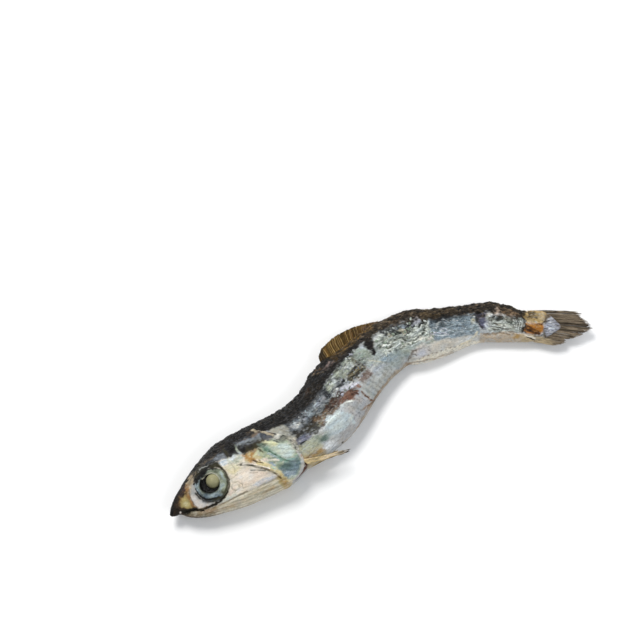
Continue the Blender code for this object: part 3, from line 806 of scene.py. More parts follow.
    patch("orbitGrey", (7.2, 2.9, 5.9, 2.2, 5.6, 1.2, 6.2, 0.2, 7, -0.6, 8, 0.5, 8, 2.4), 0.5, 0.4, 0.85,
        solid=True),
    patch("paleStreak", (5.2, 1.5, 6, 2.8, 7.6, 3.7, 7.5, 2.9, 6.3, 1.9, 5.6, 0.9), 0.35, 0.4, 0.8,
        solid=True),
    streak("snoutBlack", 0.5, (3, 2, 4.6, 2.7, 6.2, 3.6, 7.6, 4.4), 0.35, 0.5, 0.8, solid=True),
    streak("orbitLine", 0.16, (6.3, 3, 5.5, 2, 5, 0.6, 4.75, -0.7, 4.9, -1.8), 0.35, 0.25, 0.85, 0.06),
    *several(streak, "paleStreak",
        (0.2, (6.4, 3.3, 7.6, 4.1, 9, 4.7, 10.4, 5.2), 0.25, 0.35, 0.75),
        (0.12, (6.9, 2.9, 7.9, 3.6, 9, 4.2), 0.2, 0.35, 0.8),
        (0.08, (7.6, 3.2, 8.6, 3.9, 9.8, 4.5), 0.2, 0.4, 0.5)),
    streak("snoutBrown", 0.08, (5.9, 2, 5.3, 0.6, 5.05, -0.8, 5.3, -1.9), 0.16, 0.2, 0.6, -0.05),
    streak("crownBrown", 0.4, (4.2, 3.1, 7, 4.5, 10, 5.7, 12.4, 6.2), 0.4, 0.4, 0.7),
    patch("browBlack", (7.4, 2.3, 8, 3.7, 9.6, 4.7, 12, 4.8, 13.9, 4.1, 13.9, 2.9, 12.6, 3, 11, 3.1, 9.4,
        2.9, 8.4, 2.2), 0.45, 0.35, 1, 0.25, solid=True),
    streak("browOlive", 0.4, (8.4, 3.3, 9.8, 4.1, 11.4, 4.3), 0.4, 0.5, 0.8),
    blob("browOlive", (9.6, 5), (1.3, 0.35), 22, 0.6, 0.5, 0.9),
    streak("browBlack", 0.2, (7.3, 2.4, 8, 3), 0.2, 0.2),
    *several(streak, "orbitGrey",
        (0.2, (6.4, 0, 6.5, -0.9, 7.2, -2, 8.4, -2.8), 0.3, 0.2, 0.6),
        (0.1, (9.4, 4, 10.6, 4.35, 12.2, 4.2, 13.4, 3.8), 0.25, 0.4, 0.5)),
    # painted shadow between the iris ring and the orbit, round the eye's lower left
    streak("browBlack", 0.2, (6.9, 0.4, 6.85, -0.3, 7.3, -1.5, 8.4, -2.4, 9.6, -2.8), 0.4, 0.3, 0.85,
        solid=True),
    streak("orbitDark", 0.4, (4.7, -1.9, 5.6, -2.8, 7.2, -3.25, 9.2, -3.35, 11, -3.1, 12.4, -2.6), 0.32,
        0.3, 1, -0.08, solid=True),
    streak("snoutGold", 0.1, (5.2, -2.2, 6, -2.8, 7.4, -3.1), 0.2, 0.35, 0.6),
    streak("orbitGrey", 0.12, (9.6, -3.1, 11.2, -2.9, 12.6, -2.2), 0.2, 0.35, 0.5),
    patch("browOlive", (11.8, 4, 13.2, 4, 14.1, 2.9, 13.8, 2, 12.9, 2.8, 12.2, 3.2), 0.25, 0.2, 0.9,
        solid=True),
    streak("browOlive", 0.24, (13.2, 3.4, 13.9, 2.5, 14.15, 1.2, 14, -0.3, 13.4, -1.6, 12.4, -2.6, 11,
        -3.2), 0.25, 0.15, 0.9, 0.06, solid=True),
    # the black that runs along the ridge of the head
    streak("napeBlack", 0.7, (0.4, 0.9, 2, 2.1, 4, 3.1, 6, 4.1, 8, 4.95, 10, 5.8, 12, 6.6, 14, 7.2, 17,
        7.4), 0.4, 0.3, 0.9, solid=True),
]

trunkMarks = [
    # shoulder and front belly
    patch("shoulderGrey", (26, 5, 30.4, 4.4, 31, 1.6, 30.3, -2.6, 28, -3), 0.35, 0.5),
    patch("cheekCream", (28.8, 1.2, 29.8, 0.6, 29.9, -3, 28.8, -2.8), 0.3, 0.4, 0.5),
    patch("bellyGreen", (29.2, -1.8, 33.4, -2, 34.6, -2.6, 33.4, -4.6, 29.4, -4.4), 0.8, 0.5, 0.8),
    patch("bellyYellow", (28.8, -4, 31.5, -4.1, 33.4, -4.8, 33, -7.6, 28.6, -7.6), 0.8, 0.4, 0.8),
    *several(blob, "bellyOrange",
        ((29.5, -4.9), (0.9, 0.6), -30, 0.8, 0.4, 0.65), ((31.9, -5.2), (1.3, 0.5), -10, 0.8, 0.4, 0.7)),
    blob("cheekGreen", (32.4, -3), (1.2, 0.5), -15, 0.7, 0.6, 0.5),
    blob("bellyTeal", (34.9, -3.5), (1.4, 0.9), -10, 0.5, 0.7, solid=True),
    blob("bellySky", (38.4, -3.6), (2.6, 1.7), -15, 0.5, 0.4, 0.9),
    patch("bellyWhite", (33, -5, 35, -4.9, 36.4, -5.9, 35.8, -6.7, 33.6, -6.3), 0.45, 0.3, solid=True),
    blob("bellyLilac", (38.6, -6.3), (3.4, 1), 0, 0.6, 0.4, 0.8),
    patch("bellyLilac", (41.4, -2.6, 45.4, -3, 46, -6.2, 41, -6.6, 40.8, -4.4), 0.6, 0.3, 0.85),
    *several(blob, "bellyTeal",
        ((33.4, -2.4), (0.8, 0.4), -10, 0.5, 0.6, 0.55), ((43.2, -4.2), (1, 1.4), 10, 0.8, 0.6, 0.25)),
    streak("bellySky", 0.2, (40.2, -2.6, 40.9, -3.6, 40.9, -4.8, 40.3, -5.8), 0.25, 0.3, 0.7, 0.06),
    blob("backBrown", (36.4, -6.95), (0.24, 0.18), 0, 0.4, 0.1),
    patch("ribPale", (46.6, -2.8, 53, -3, 56, -4.2, 52, -5.8, 46.6, -6.2), 0.6, 0.3, 0.7),
    # whitish painted highlights over the ribs
    streak("ribWhite", 0.2, (50.6, -4, 52.4, -3.6, 54.4, -3.3), 0.3, 0.4, 0.6),
    streak("bellyTeal", 0.12, (47.4, -3.4, 47.2, -4.6, 47.4, -5.6), 0.3, 0.3, 0.3),
    streak("rimBrown", 0.3, (29.4, -4.9, 28.8, -6, 27.6, -6.9, 25.6, -7.4), 0.3, 0.35, 1, -0.1,
        flanks=True),
    streak("bellyRust", 0.12, (43.2, -5.2, 43.6, -5.9, 44.8, -6.3), 0.25, 0.4, 0.6, -0.05),
    band("bellyEdge", (28, 60.5), under, (28, -7.3, 36, -7.2, 43, -6.7, 46, -6.2, 52, -5.5, 57, -4.8, 60,
        -4.6), 0.3, 0.35, 0.85),
    streak("bellyRust", 0.1, (40, -7, 43.5, -6.5, 47.5, -6.2, 52, -5.7), 0.2, 0.4, 0.5),
    # silver band under the back
    band("bandHollow", (30, 43), (28, 1, 34, 1.1, 42, 1.6), (28, 4.4, 34, 4, 42, 4.4), 0.3, 0.5,
        solid=True),
    band("bandSilver", (30.4, 41.6), (28, 1.2, 34, 1.2, 42, 1.5), (28, 3.1, 34, 2.8, 42, 3.1), 0.5, 0.6),
    band("flakeLilac", (30.8, 41), (28, 1.6, 34, 1.6, 42, 1.9), (28, 2.7, 34, 2.4, 42, 2.7), 0.5, 0.8, 0.6,
        broken="blotch"),
    *several(blob, "bandBlue",
        ((36.2, 1.9), (0.8, 0.7), -20, 0.6, 0.6, 0.8), ((38.2, 2.6), (1, 0.4), 10, 0.6, 0.7, 0.6)),
    patch("bandWhite", (30.7, 2.4, 32.2, 2.9, 33.2, 2.4, 32.8, 1.9, 31.2, 1.8), 0.25, 0.5, 0.9, 0.06),
    streak("bandWhite", 0.14, (37, 1.2, 37.8, 2.2, 38.8, 3.2), 0.15, 0.4, 0.8),
    streak("bandHollow", 0.12, (33.3, 1.6, 33.6, 2.3, 34.5, 2.5, 35.2, 2, 35, 1.2, 34.2, 1), 0.12, 0.25,
        0.9, -0.1),
    patch("bandHollow", (36.7, 2.4, 37.4, 2.5, 37.4, 1.6, 36.8, 1.3), 0.2, 0.5, 0.85, -0.08),
    blob("spotDark", (39.4, 2.4), (0.24, 0.22), 0, 0.35, 0.08, 1, -0.08),
    band("bandDark", (30.2, 42.4), (29.6, -0.5, 34, -0.7, 39, 0.2), (29.6, 1.5, 34, 1.1, 39, 1.2, 44, 1.2),
        0.35, 0.6),
    patch("bandViolet", (29.8, -0.3, 32.6, -0.3, 33.6, -1.3, 32.4, -1.8, 29.9, -1.7), 0.35, 0.35),
    patch("bandOlive", (32.6, 0, 36, 0.2, 36.6, -1.2, 34.2, -1.7, 32.8, -1.2), 0.35, 0.6, 0.9),
    patch("bandBrown", (35.6, 0.4, 38, 0.6, 42, 0.9, 42, -1.4, 38, -1.6, 36, -1.5), 0.35, 0.6, 0.9),
    *several(streak, "spotDark",
        (0.14, (30.4, -1.7, 31.6, -1.85), 0.18, 0.4),
        (0.1, (33.4, -1.6, 35.6, -1.5, 38, -1.7), 0.16, 0.5, 0.7, -0.06)),
    streak("bellyGreen", 0.1, (35.4, -0.9, 37, -0.6, 38.6, -0.3), 0.2, 0.6, 0.35),
    # torn strip with the flesh showing
    patch("fleshDark", (39, 0.9, 41.6, 1, 44.2, 0.7, 44.4, -0.4, 42, -0.9, 39.2, -0.9), 0.2, 0.6, 0.8,
        leftOnly=True),
    patch("fleshRed", (41.7, -0.7, 43.6, -0.4, 45.4, -0.9, 46.4, -1.7, 46.2, -2.8, 44.8, -2.9, 43.6, -2.6,
        42.5, -1.8), 0.25, 0.3, 1, -0.2, leftOnly=True, solid=True),
    streak("fleshPale", 0.2, (42.6, -0.9, 44.4, -1.3, 45.4, -2.2), 0.35, 0.5, 0.4, leftOnly=True),
    streak("fleshDark", 0.16, (44.6, -2, 45.3, -2.6, 45.5, -3.1), 0.16, 0.3, leftOnly=True),
    # a painted highlight along the torn flesh's left edge
    streak("flakeWhite", 0.16, (41.6, -1.5, 42.5, -2, 43.5, -2.8), 0.16, 0.3, 1, 0.1, leftOnly=True),
    patch("bellySky", (36.4, -1.9, 37.8, -1.1, 38.7, -1, 38.8, -1.6, 40.6, -1.7, 40.6, -2.3, 37, -2.4), 0.2,
        0.5, 1, 0.07),
    patch("flakeLilac", (44.2, 1, 45.4, 0.5, 46.4, -0.4, 48, -1.2, 48.4, -1.7, 46.8, -1.7, 45.4, -0.9, 44.2,
        -0.2), 0.14, 0.6, 1, 0.12, leftOnly=True),
    # flakes over the middle
    patch("pocketBlue", (41, 3.8, 42.2, 3.8, 42, 1.9, 44.6, 1.7, 46.8, 0.4, 46.2, 2.6, 44.8, 3.8, 51, 4.3,
        55.5, 4.2, 55, 3.9, 46, 3.6, 45.6, 1, 42.6, 0.9, 41.2, 1.6), 0.3, 0.5, 0.9),
    *several(patch, "flakeGreen",
        ((42.3, 2, 42.8, 3.8, 44.4, 3.7, 44.8, 2.6, 44.2, 1.9), 0.18, 0.4, 1, 0.06),
        ((45, 3.6, 46.6, 3.8, 51.2, 3.8, 51.6, 1.8, 48.6, 1.3, 46.6, 1.4), 0.3, 0.6, 0.95)),
    *several(blob, "flakeWhite",
        ((45.2, 2.9), (0.35, 0.7), -25, 0.4, 0.5), ((48.9, 2.5), (1.1, 0.4), -12, 0.5, 0.8),
        ((49.6, 1.9), (0.6, 0.2), 0, 0.5, 0.6)),
    patch("bandSilver", (42, 1.5, 44.2, 1.6, 44.4, 0.9, 42.4, 0.8), 0.16, 0.4, 1, 0.05),
    streak("bandWhite", 0.12, (42.2, 1.2, 43.2, 1.3, 44.2, 1.1), 0.14, 0.5),
    *[blob("pocketBlue", centre, reach, turn, 0.6, 0.7, 0.8, -0.06) for centre, reach, turn in (((47.4,
        3.2), (0.6, 0.3), -30), ((45.7, 2.3), (0.4, 0.8), 20), ((45.4, 1.1), (1, 0.4), -10), ((44.6, 3.2),
        (0.3, 0.6), 20), ((49, 3.8), (1.2, 0.25), 0), ((51.6, 3.9), (1.2, 0.3), 0), ((46.6, 0.6), (0.5,
        0.3), 0), ((50.9, 2.2), (0.3, 0.6), 0))],
    blob("oliveBrown", (50.6, 2.9), (0.5, 0.7), 0, 0.6, 0.8, 0.7),
    patch("oliveBrown", (46.4, 1.2, 50.8, 1.6, 51.2, -0.5, 48.6, -0.6, 46.8, -0.2), 0.4, 0.6, solid=True),
    *[streak("bandOlive", 0.14, (46.9, 0.9 - 0.45 * n, 48.6, 1 - 0.5 * n, 50.6, 1.2 - 0.5 * n), 0.18, 0.6,
        0.9, -0.06) for n in range(4)],
    *several(streak, "strawStreak",
        (0.1, (47.2, 1, 48.6, 0.7, 50.4, 0.9), 0.16, 0.6, 0.7),
        (0.1, (46.8, 0.4, 48.4, 0.1, 50.6, 0.3), 0.16, 0.6, 0.6)),
    *several(streak, "pocketBlue",
        (0.1, (47, 0.1, 48.8, -0.3, 50.6, 0), 0.14, 0.6, 0.8, -0.08),
        (0.08, (47.4, 1.3, 49, 1.1, 50.6, 1.4), 0.14, 0.6, 0.8, -0.06)),
    patch("fleshPink", (48, -1, 51, -0.8, 51.2, -2.6, 48.2, -2.7), 0.4, 0.5, 0.85),
    *[streak("fleshDark", 0.1, (48.3, -1.2 - 0.4 * n, 49.6, -1.15 - 0.4 * n, 50.8, -1.3 - 0.4 * n), 0.16,
        0.5, 0.6, -0.05) for n in range(4)],
    blob("fleshRed", (46.9, -2), (0.5, 0.5), 0, 0.3, 0.5, leftOnly=True),
    streak("flakeWhite", 0.12, (45.7, -1.6, 46.2, -2.2, 46.3, -2.8), 0.12, 0.4, 0.9),
    streak("crackOrange", 0.2, (46.3, -3.3, 46.15, -4.6, 46.35, -6.4), 0.25, 0.3, 0.85, -0.14),
    streak("spotDark", 0.07, (46.3, -3.5, 46.2, -4.8, 46.35, -5.8), 0.1, 0.15, 0.75, -0.06),
    blob("bellyRust", (46.4, -6.4), (1.8, 0.25), 2, 0.6, 0.4, 0.8),
    # smooth pale side
    patch("sidePale", (51.2, 4, 55.6, 3.8, 56, 1, 62, -1, 67, -1.4, 66, -2.6, 61, -3.2, 57, -4.4, 53.5,
        -3.4, 51.4, -1), 0.6, 0.4),
    patch("sideGreen", (51.2, 3.6, 53.8, 3.4, 53.8, 0.6, 51.4, 0.8), 0.4, 0.4, 0.7),
    patch("flakeLilac", (53, 4, 53.9, 3.9, 53.8, 2.6, 53.2, 2.8), 0.25, 0.4, 0.6),
    blob("sideBlue", (57, -1.8), (2.4, 1), -8, 0.6, 0.4, 0.85),
    blob("flakeLilac", (53.4, -2.4), (1.8, 0.5), -20, 0.7, 0.4, 0.45),
    *several(streak, "foilCream",
        (0.16, (52.6, 0, 53.6, -0.9, 54.6, -2), 0.2, 0.3, 0.6),
        (0.12, (54.4, 1, 55.2, 2, 55.8, 2.8), 0.15, 0.3, 0.8, 0.06)),
    patch("foilPale", (55.6, 2.8, 58, 3, 62, 2, 66.6, 2.8, 67, -0.2, 64, -1.4, 60, -1.3, 56.4, -0.8), 0.35,
        0.4),
    blob("cheekGreen", (60, -2.2), (2.6, 0.8), -6, 0.7, 0.6, 0.5),
    patch("pocketBlue", (57.2, 3.7, 66.4, 4.2, 66.4, 2.8, 64.6, 2, 63, 2, 61.4, 0.9, 60.2, 1.8, 58, 2.4),
        0.25, 0.6, 1, -0.08),
    blob("shoulderDark", (58.8, 3.2), (0.6, 0.3), 0, 0.5, 0.7, 0.8),
    blob("crownBlue", (60.6, 3.3), (0.25, 0.4), 0, 0.5, 0.6, 0.5),
    *several(patch, "foilCream",
        ((57.8, 2, 58.8, 2.9, 59.3, 1.9), 0.12, 0.25, 1, 0.12),
        ((60.4, 2.5, 61.4, 2.9, 62, 2, 61.8, 1.1, 61, 0.9, 61.3, 1.9), 0.14, 0.3, 1, 0.14)),
    patch("crownBlue", (61.2, 3.6, 61.9, 3.7, 62.4, 2.8, 61.9, 2.6), 0.16, 0.4, 1, 0.06),
    patch("silverLilac", (63.4, 2.3, 64.9, 4.4, 65.5, 3.1, 64.7, 2.4), 0.2, 0.25, 1, 0.16, solid=True),
    streak("pocketBlue", 0.12, (63.8, 2.3, 64.9, 3.5), 0.12, 0.2, 0.7),
    # dark streaks in the foil's creases, partly pigment and partly painted shade; the white streaks along
    # its ridges are painted glints
    *several(streak, "foilDark",
        (0.12, (60.2, 0.8, 61, 0.5, 62.4, 1.2, 63.8, 2.2), 0.14, 0.3, 1, -0.16),
        (0.12, (60.8, 0.2, 62.2, -0.8, 63.8, -0.5, 65, -0.1, 65.6, 0.8), 0.14, 0.3, 1, -0.16),
        (0.12, (65, 0.2, 65.8, 1.6, 66.6, 2.6), 0.14, 0.3, 1, -0.14),
        (0.1, (56.4, 1.6, 57.8, 0.9, 59.4, 0.9), 0.12, 0.5, 1, -0.12),
        (0.1, (56.2, 0.8, 57.6, -0.1, 59.6, -0.3), 0.12, 0.5, 1, -0.12),
        (0.08, (58.4, 1.5, 59.6, 1, 60.6, 1.3), 0.14, 0.4, 0.8, -0.1)),
    *several(streak, "foilWhite",
        (0.14, (56.2, 1.2, 57.6, 0.5, 59.4, 0.4), 0.16, 0.5, 0.9, 0.08),
        (0.14, (57, -0.4, 58.8, -0.7, 60.2, -0.6), 0.16, 0.5, 0.9, 0.08),
        (0.14, (60.4, 0, 61.6, -0.7, 63.2, -0.9, 64.6, -0.6), 0.16, 0.3, 0.9, 0.1),
        (0.14, (61.2, 0.6, 62.8, 0.4, 64, 0.9, 64.8, 1.6), 0.16, 0.4, 0.8, 0.1),
        (0.12, (64.6, 1.2, 65.4, 2.2), 0.14, 0.3, 1, 0.08),
        (0.14, (66, -0.4, 66.4, 0.8, 66.9, 2.2), 0.16, 0.4, 0.8, 0.1)),
    streak("foilDark", 0.08, (59.8, -0.9, 61.6, -1.3, 63.6, -1.2), 0.14, 0.4, 0.7, -0.08),
    patch("frillPink", (64.4, -0.5, 66.8, -0.5, 67.6, -1.4, 65.6, -1.5, 64.2, -1.1), 0.25, 0.4, 0.7),
    # belly behind the middle
    patch("lobePale", (59.6, -4.8, 60.6, -3.2, 64, -2, 70, -2.2, 76, -2.2, 77, -3.4, 72, -4.6, 66, -5.4, 61,
        -5.4), 0.35, 0.4),
    blob("lobeLilac", (63.4, -3.7), (1.6, 0.9), -6, 0.8, 0.4, 0.8),
    *several(streak, "lobeEdge",
        (0.14, (60.1, -4.5, 60.6, -3.5, 61.6, -3, 62.4, -3.1), 0.25, 0.35, 0.8, -0.12),
        (0.06, (62.4, -3.1, 63.6, -2.8, 65, -2.7, 65.6, -3.4), 0.2, 0.4, 0.5, -0.06),
        (0.1, (60.6, -4.1, 61.4, -3.5, 62.2, -3.9), 0.14, 0.35, 0.8, -0.08)),
    blob("cheekGreen", (66, -2), (1.4, 0.25), -8, 0.6, 0.6, 0.6),
    blob("ribWhite", (73.4, -3.2), (2, 0.6), 2, 0.6, 0.5, 0.7),
    blob("lobeEdge", (65.2, -3.7), (0.3, 0.16), -50, 0.5, 0.3, 0.7),
    band("frillPink", (60.2, 77), under, (60, -5, 66, -4.6, 71, -4.2, 76, -3.6, 78, -3.2), 0.25, 0.3, 0.9),
    *[blob("frillDot", (62.6 + 1.05 * n, -4.85 + 0.062 * n + 0.12 * (n % 2)), (0.15 + 0.05 * (n % 3), 0.12),
        20, 0.5, 0.15, 0.75) for n in range(10)],
    streak("bellyRust", 0.12, (59, -5, 62, -5.4, 66, -5.7, 70, -5.2), 0.2, 0.3, 0.6),
    # rear flank
    band("flankSteel", (66.9, 76.6), (64, -1.8, 69, -2.2, 77, -2.3), (64, 2.7, 70, 2.3, 77, 2.3), 0.3, 0.3),
    band("flankDeep", (67, 77), (64, 1.5, 77, 1.7), (64, 3.2, 70, 2.7, 77, 2.7), 0.3, 0.4, 0.85),
    *several(blob, "sideBlue",
        ((72.4, 0.2), (3, 0.9), -2, 0.7, 0.5, 0.6), ((74.4, -1.3), (1.6, 0.5), -2, 0.7, 0.5, 0.5)),
    *[streak("flankDeep", 0.08, (67.2 + 1.4 * n, 0.9 - 0.55 * n, 69.4 + 1.4 * n, 0.75 - 0.55 * n, 71.6 + 1.2
        * n, 0.7 - 0.5 * n), 0.16, 0.5, 0.55, -0.05) for n in range(4)],
    streak("flakeLilac", 0.16, (66.6, -0.2, 67.8, -0.4, 69.2, -1, 70, -1.5), 0.2, 0.3, 1, 0.08),
    streak("silverWhite", 0.12, (66.9, -0.6, 68, -1.2, 69.4, -1.6), 0.18, 0.35, 0.8, 0.06),
    streak("flankDeep", 0.08, (67.2, -0.4, 68.4, -0.8, 69.4, -1.3), 0.14, 0.3, 0.7, -0.06),
    streak("silverLilac", 0.07, (68.6, 0, 69, 0.35, 69.7, 0.1, 70, -0.4, 69.5, -0.8), 0.12, 0.2, 1, 0.08),
    # painted glints on the smooth blue flank
    *[blob("silverWhite", centre, (0.28, 0.1), turn, 0.5, 0.35, 0.85) for centre, turn in (((68.3, 1.5),
        40), ((69, 1.8), 10), ((69.8, 1.9), 0), ((70.5, 1.6), -40), ((69.9, 1.3), 20), ((68, 0.9), 60))],
    blob("flankDeep", (69.2, 1.3), (1.4, 0.3), 0, 0.6, 0.5, 0.5),
    streak("threadYellow", 0.14, (76.2, -1.8, 75.4, -2.8, 74.4, -3.6, 72.4, -4.1), 0.2, 0.2, 0.6, 0.12),
    blob("strawStreak", (75.8, 0.7), (0.35, 0.45), 0, 0.6, 0.5, 0.7),
    streak("flakeWhite", 0.1, (75.4, 0.9, 75.9, 0.3, 76.4, -0.3), 0.16, 0.4, 0.8),
    patch("purple", (76.2, 2.4, 78.5, 2.4, 78.4, 0.8, 78, -0.4, 78.2, -1.5, 76.9, -0.9, 76.3, 0.4), 0.4,
        0.35, solid=True),
    blob("bandViolet", (77.4, 0.7), (0.55, 1), 10, 0.8, 0.6, 0.6),
    streak("spotDark", 0.1, (76.2, 1.6, 76.5, 0.4, 77, -0.6, 77.6, -1.1), 0.2, 0.4, 0.7, -0.12),
    patch("flankWhite", (78.3, 1.6, 80.4, 1.5, 83, 1.5, 85.8, 1.3, 86.1, -1.4, 82, -2, 78.8, -1.8, 78.2,
        -0.8), 0.25, 0.3),
    patch("flankLilac", (78.2, 0.9, 79.2, 0.8, 79.4, -0.8, 78.6, -1.2, 78, -0.4), 0.4, 0.4, 0.6),
    *several(streak, "lobeEdge",
        (0.1, (78.9, 1.2, 79.6, 0.2, 80.6, -0.4, 82.2, -0.6), 0.12, 0.4, 0.8, -0.1),
        (0.08, (79.2, -0.9, 81.2, -1, 83.2, -1.3), 0.12, 0.3, 1, -0.1),
        (0.08, (79.6, -1.5, 81.6, -1.6, 83.6, -1.9), 0.12, 0.4, 0.8, -0.08)),
    patch("foilDark", (80, 1.2, 81.8, 1.4, 81.6, 0.7, 80.4, 0.6), 0.2, 0.4, 0.9, -0.1),
    patch("shoulderDark", (82, 1.4, 83.6, 1.5, 83.6, -0.2, 82.4, 0), 0.3, 0.4, 0.7),
    # scale edges: dark lines in the grooves and white lines on the crests beside them, painted shade and
    # painted highlight
    *[streak("lobeEdge", 0.07, (83.4 + 0.5 * n, 1.3 - 0.1 * n, 84 + 0.45 * n, 0.2, 83.7 + 0.45 * n, -1.2),
        0.1, 0.15, 0.85, -0.08) for n in range(5)],
    *[streak("foilWhite", 0.06, (83.6 + 0.5 * n, 1.2 - 0.1 * n, 84.22 + 0.45 * n, 0.2, 83.92 + 0.45 * n,
        -1.1), 0.12, 0.2, 0.8, 0.05) for n in range(5)],
    band("tanBelly", (76.6, 90), under, (76, -2.4, 80, -2, 86, -1.9, 90, -2.4), 0.25, 0.4),
    blob("rimLilac", (77.2, -3), (0.8, 0.5), -10, 0.6, 0.4, 0.6),
    blob("goldBelly", (84.7, -2.6), (0.9, 0.45), 8, 0.6, 0.5, 0.9),
    streak("jawBrown", 0.1, (77.4, -2.2, 80.6, -2.2, 83.2, -2.4), 0.2, 0.4, 0.7, -0.08),
    # back
    band("backBlack", (18, 86.4), (18, 5, 24, 5, 26, 4.7, 28, 4.4, 31, 3.7, 36, 3.6, 42, 3.9, 46, 3.8, 55,
        3.9, 58, 3.8, 66, 3.4, 67, 2.6, 72, 2.3, 79, 2.3, 82, 2, 84, 1.6, 86, 1), above, 0.35, 0.4,
        solid=True),
    blob("backBrown", (39.6, 5.1), (2.6, 0.9), 2, 0.7, 0.7, 0.7),
    blob("backRust", (39.2, 5.3), (1, 0.35), 10, 0.6, 0.6, 0.6),
    streak("backTan", 0.2, (43.3, 7, 44.2, 6.4, 45, 5.6), 0.2, 0.5, 0.9, 0.06),
    streak("bandBrown", 0.16, (44, 7.2, 45, 6.6, 46, 6.3), 0.2, 0.5, 0.8),
    blob("backPink", (46.7, 5.6), (1.1, 0.35), -16, 0.6, 0.6, 0.8, 0.05),
    band("backBrown", (54, 67), (54, 4.2, 60, 3.8, 67, 2.8), above, 0.4, 0.6, 0.85),
    patch("backBrown", (53.6, 4.7, 56.2, 4.7, 56, 3.6, 55.2, 3, 54.2, 3.2), 0.3, 0.5, solid=True),
    patch("spotDark", (53.9, 3.4, 55.8, 3.3, 55.8, 2.6, 55.4, 1.9, 55, 1.3, 54.8, 0.7, 54, 0.7, 54, 2), 0.2,
        0.45, 1, -0.15, solid=True),
    *[blob("backTan", centre, reach, turn, 0.6, 0.6, 0.6) for centre, reach, turn in (((56.4, 5.2), (0.5,
        0.2), 20), ((57.8, 4.6), (0.4, 0.2), -30), ((58.8, 5.3), (0.6, 0.2), 40), ((60.2, 4.7), (0.4, 0.25),
        0), ((62.3, 5.2), (0.5, 0.2), -20), ((64, 4.7), (0.4, 0.2), 30), ((76.6, 3.9), (0.25, 0.5), 10),
        ((75.4, 2.7), (0.3, 0.3), 0), ((82.4, 2.9), (0.8, 0.25), -25), ((83.8, 2.3), (0.7, 0.25), -30),
        ((81.4, 3.4), (0.6, 0.2), -15))],
    band("backGold", (65.6, 72.4), (65, 2.7, 72, 2.9), (65, 6.5, 69, 4.6, 72, 4.2), 0.4, 0.6, 0.8),
    band("backBrown", (74, 87), (74, 2.6, 86, 1.3), above, 0.5, 0.8, 0.4),
    patch("bandBrown", (80.8, 3.2, 83.2, 3, 85.4, 2, 85, 1.4, 82.4, 1.9, 81, 2.3), 0.5, 0.7, 0.75),
    patch("clumpPink", (79.8, 2.6, 80.6, 3.1, 81.4, 2.6, 81.3, 1.5, 80.6, 1.2, 79.9, 1.8), 0.3, 0.5, 1,
        0.16),
    *several(streak, "spotDark",
        (0.5, (44.4, 4.9, 46.4, 4.7, 49, 4.5, 52, 4.3, 55, 4.1), 0.35, 0.5, 1, -0.12),
        (0.12, (79.6, 2.4, 79.8, 1.7, 80.5, 1.1, 81.5, 1.4), 0.16, 0.4, 0.8, -0.1)),
    # the dorsal fin's rays, where the fin lies against the flank
    patch("finOlive", (47, 6.9, 48.4, 5.5, 50.6, 4.9, 54.4, 5, 57.2, 5.6, 57.4, 6.9), 0.3, 0.4, 0.85,
        leftOnly=True),
    *[streak("finGold", 0.1, (47.8 + 0.5 * n, 5.1, 48.4 + 0.5 * n, 6.6), 0.14, 0.3, 0.85, 0.1,
        leftOnly=True) for n in range(18)],
    # the tail's root
    patch("rootTan", (85.8, 2.6, 87.4, 3.4, 90.6, 3.3, 90.7, 1.6, 89.8, 0.4, 86.4, 0.4, 85.9, 1.2), 0.35,
        0.3),
    patch("backGold", (86.2, 2.4, 87.6, 2.9, 88.8, 2.4, 88.4, 1.2, 86.8, 0.9, 86.1, 1.4), 0.5, 0.7, 0.6),
    blob("rootCream", (89.6, 1.8), (0.5, 0.9), 30, 0.8, 0.5, 0.7),
    *[blob("rootSpeck", centre, reach, turn, 0.45, 0.25, 0.9) for centre, reach, turn in (((86.7, 1.5),
        (0.28, 0.12), 60), ((87.1, 2.2), (0.3, 0.12), 40), ((87.5, 1.3), (0.26, 0.1), 70), ((87.9, 2.3),
        (0.3, 0.1), 30), ((88.2, 1.7), (0.26, 0.1), 50), ((86.9, 2.8), (0.35, 0.14), 30), ((88.9, 2.1),
        (0.22, 0.08), 40), ((86.4, 0.9), (0.24, 0.1), 80))],
    patch("rootOrange", (86, 0.3, 89.8, 0.4, 90.2, -1, 89.4, -2, 87.4, -2, 85.9, -1.4), 0.3, 0.3,
        solid=True),
    *[streak("rootRust", 0.2, (86, 0 - 0.45 * n, 87.2, -0.35 - 0.45 * n, 88.4, -0.95 - 0.4 * n, 89.2, -1.6 -
        0.2 * n), 0.2, 0.35, 0.85, -0.06) for n in range(3)],
    streak("bellyOrange", 0.1, (86.6, 0.2, 88.2, 0, 89.4, -0.4), 0.2, 0.3, 0.6),
    blob("rootRust", (89, 0.2), (0.5, 0.2), 0, 0.6, 0.4, 0.6),
    *[blob("rootSpeck", centre, reach, turn, 0.6, 0.5, 0.6) for centre, reach, turn in (((87.3, 2.5), (0.7,
        0.25), 20), ((86.9, 1.5), (0.4, 0.2), -40), ((88.3, 1.7), (0.5, 0.2), 50))],
    *several(streak, "rootSpeck",
        (0.12, (86, -0.6, 87.4, -1, 88.6, -1.8), 0.16, 0.35, 0.8, -0.08),
        (0.16, (85.9, -1.3, 87.2, -1.9, 88.4, -2.1), 0.2, 0.35, 0.7),
        (0.16, (89.6, 0.2, 90.4, 1.2, 91, 2.2), 0.16, 0.2, 0.85)),
    *several(streak, "spotDark",
        (0.34, (86.9, 3.45, 88.2, 3.6, 89.6, 3.55, 91.2, 3.3, 92.4, 3.1), 0.22),
        (0.2, (85.6, 1.8, 86, 0.4, 85.9, -1.6), 0.22, 0.3, 0.75, -0.1)),
    patch("rootCream", (85.4, -2.1, 87.4, -2.2, 90.4, -2.5, 91.4, -3.9, 85.4, -4), 0.25, 0.3),
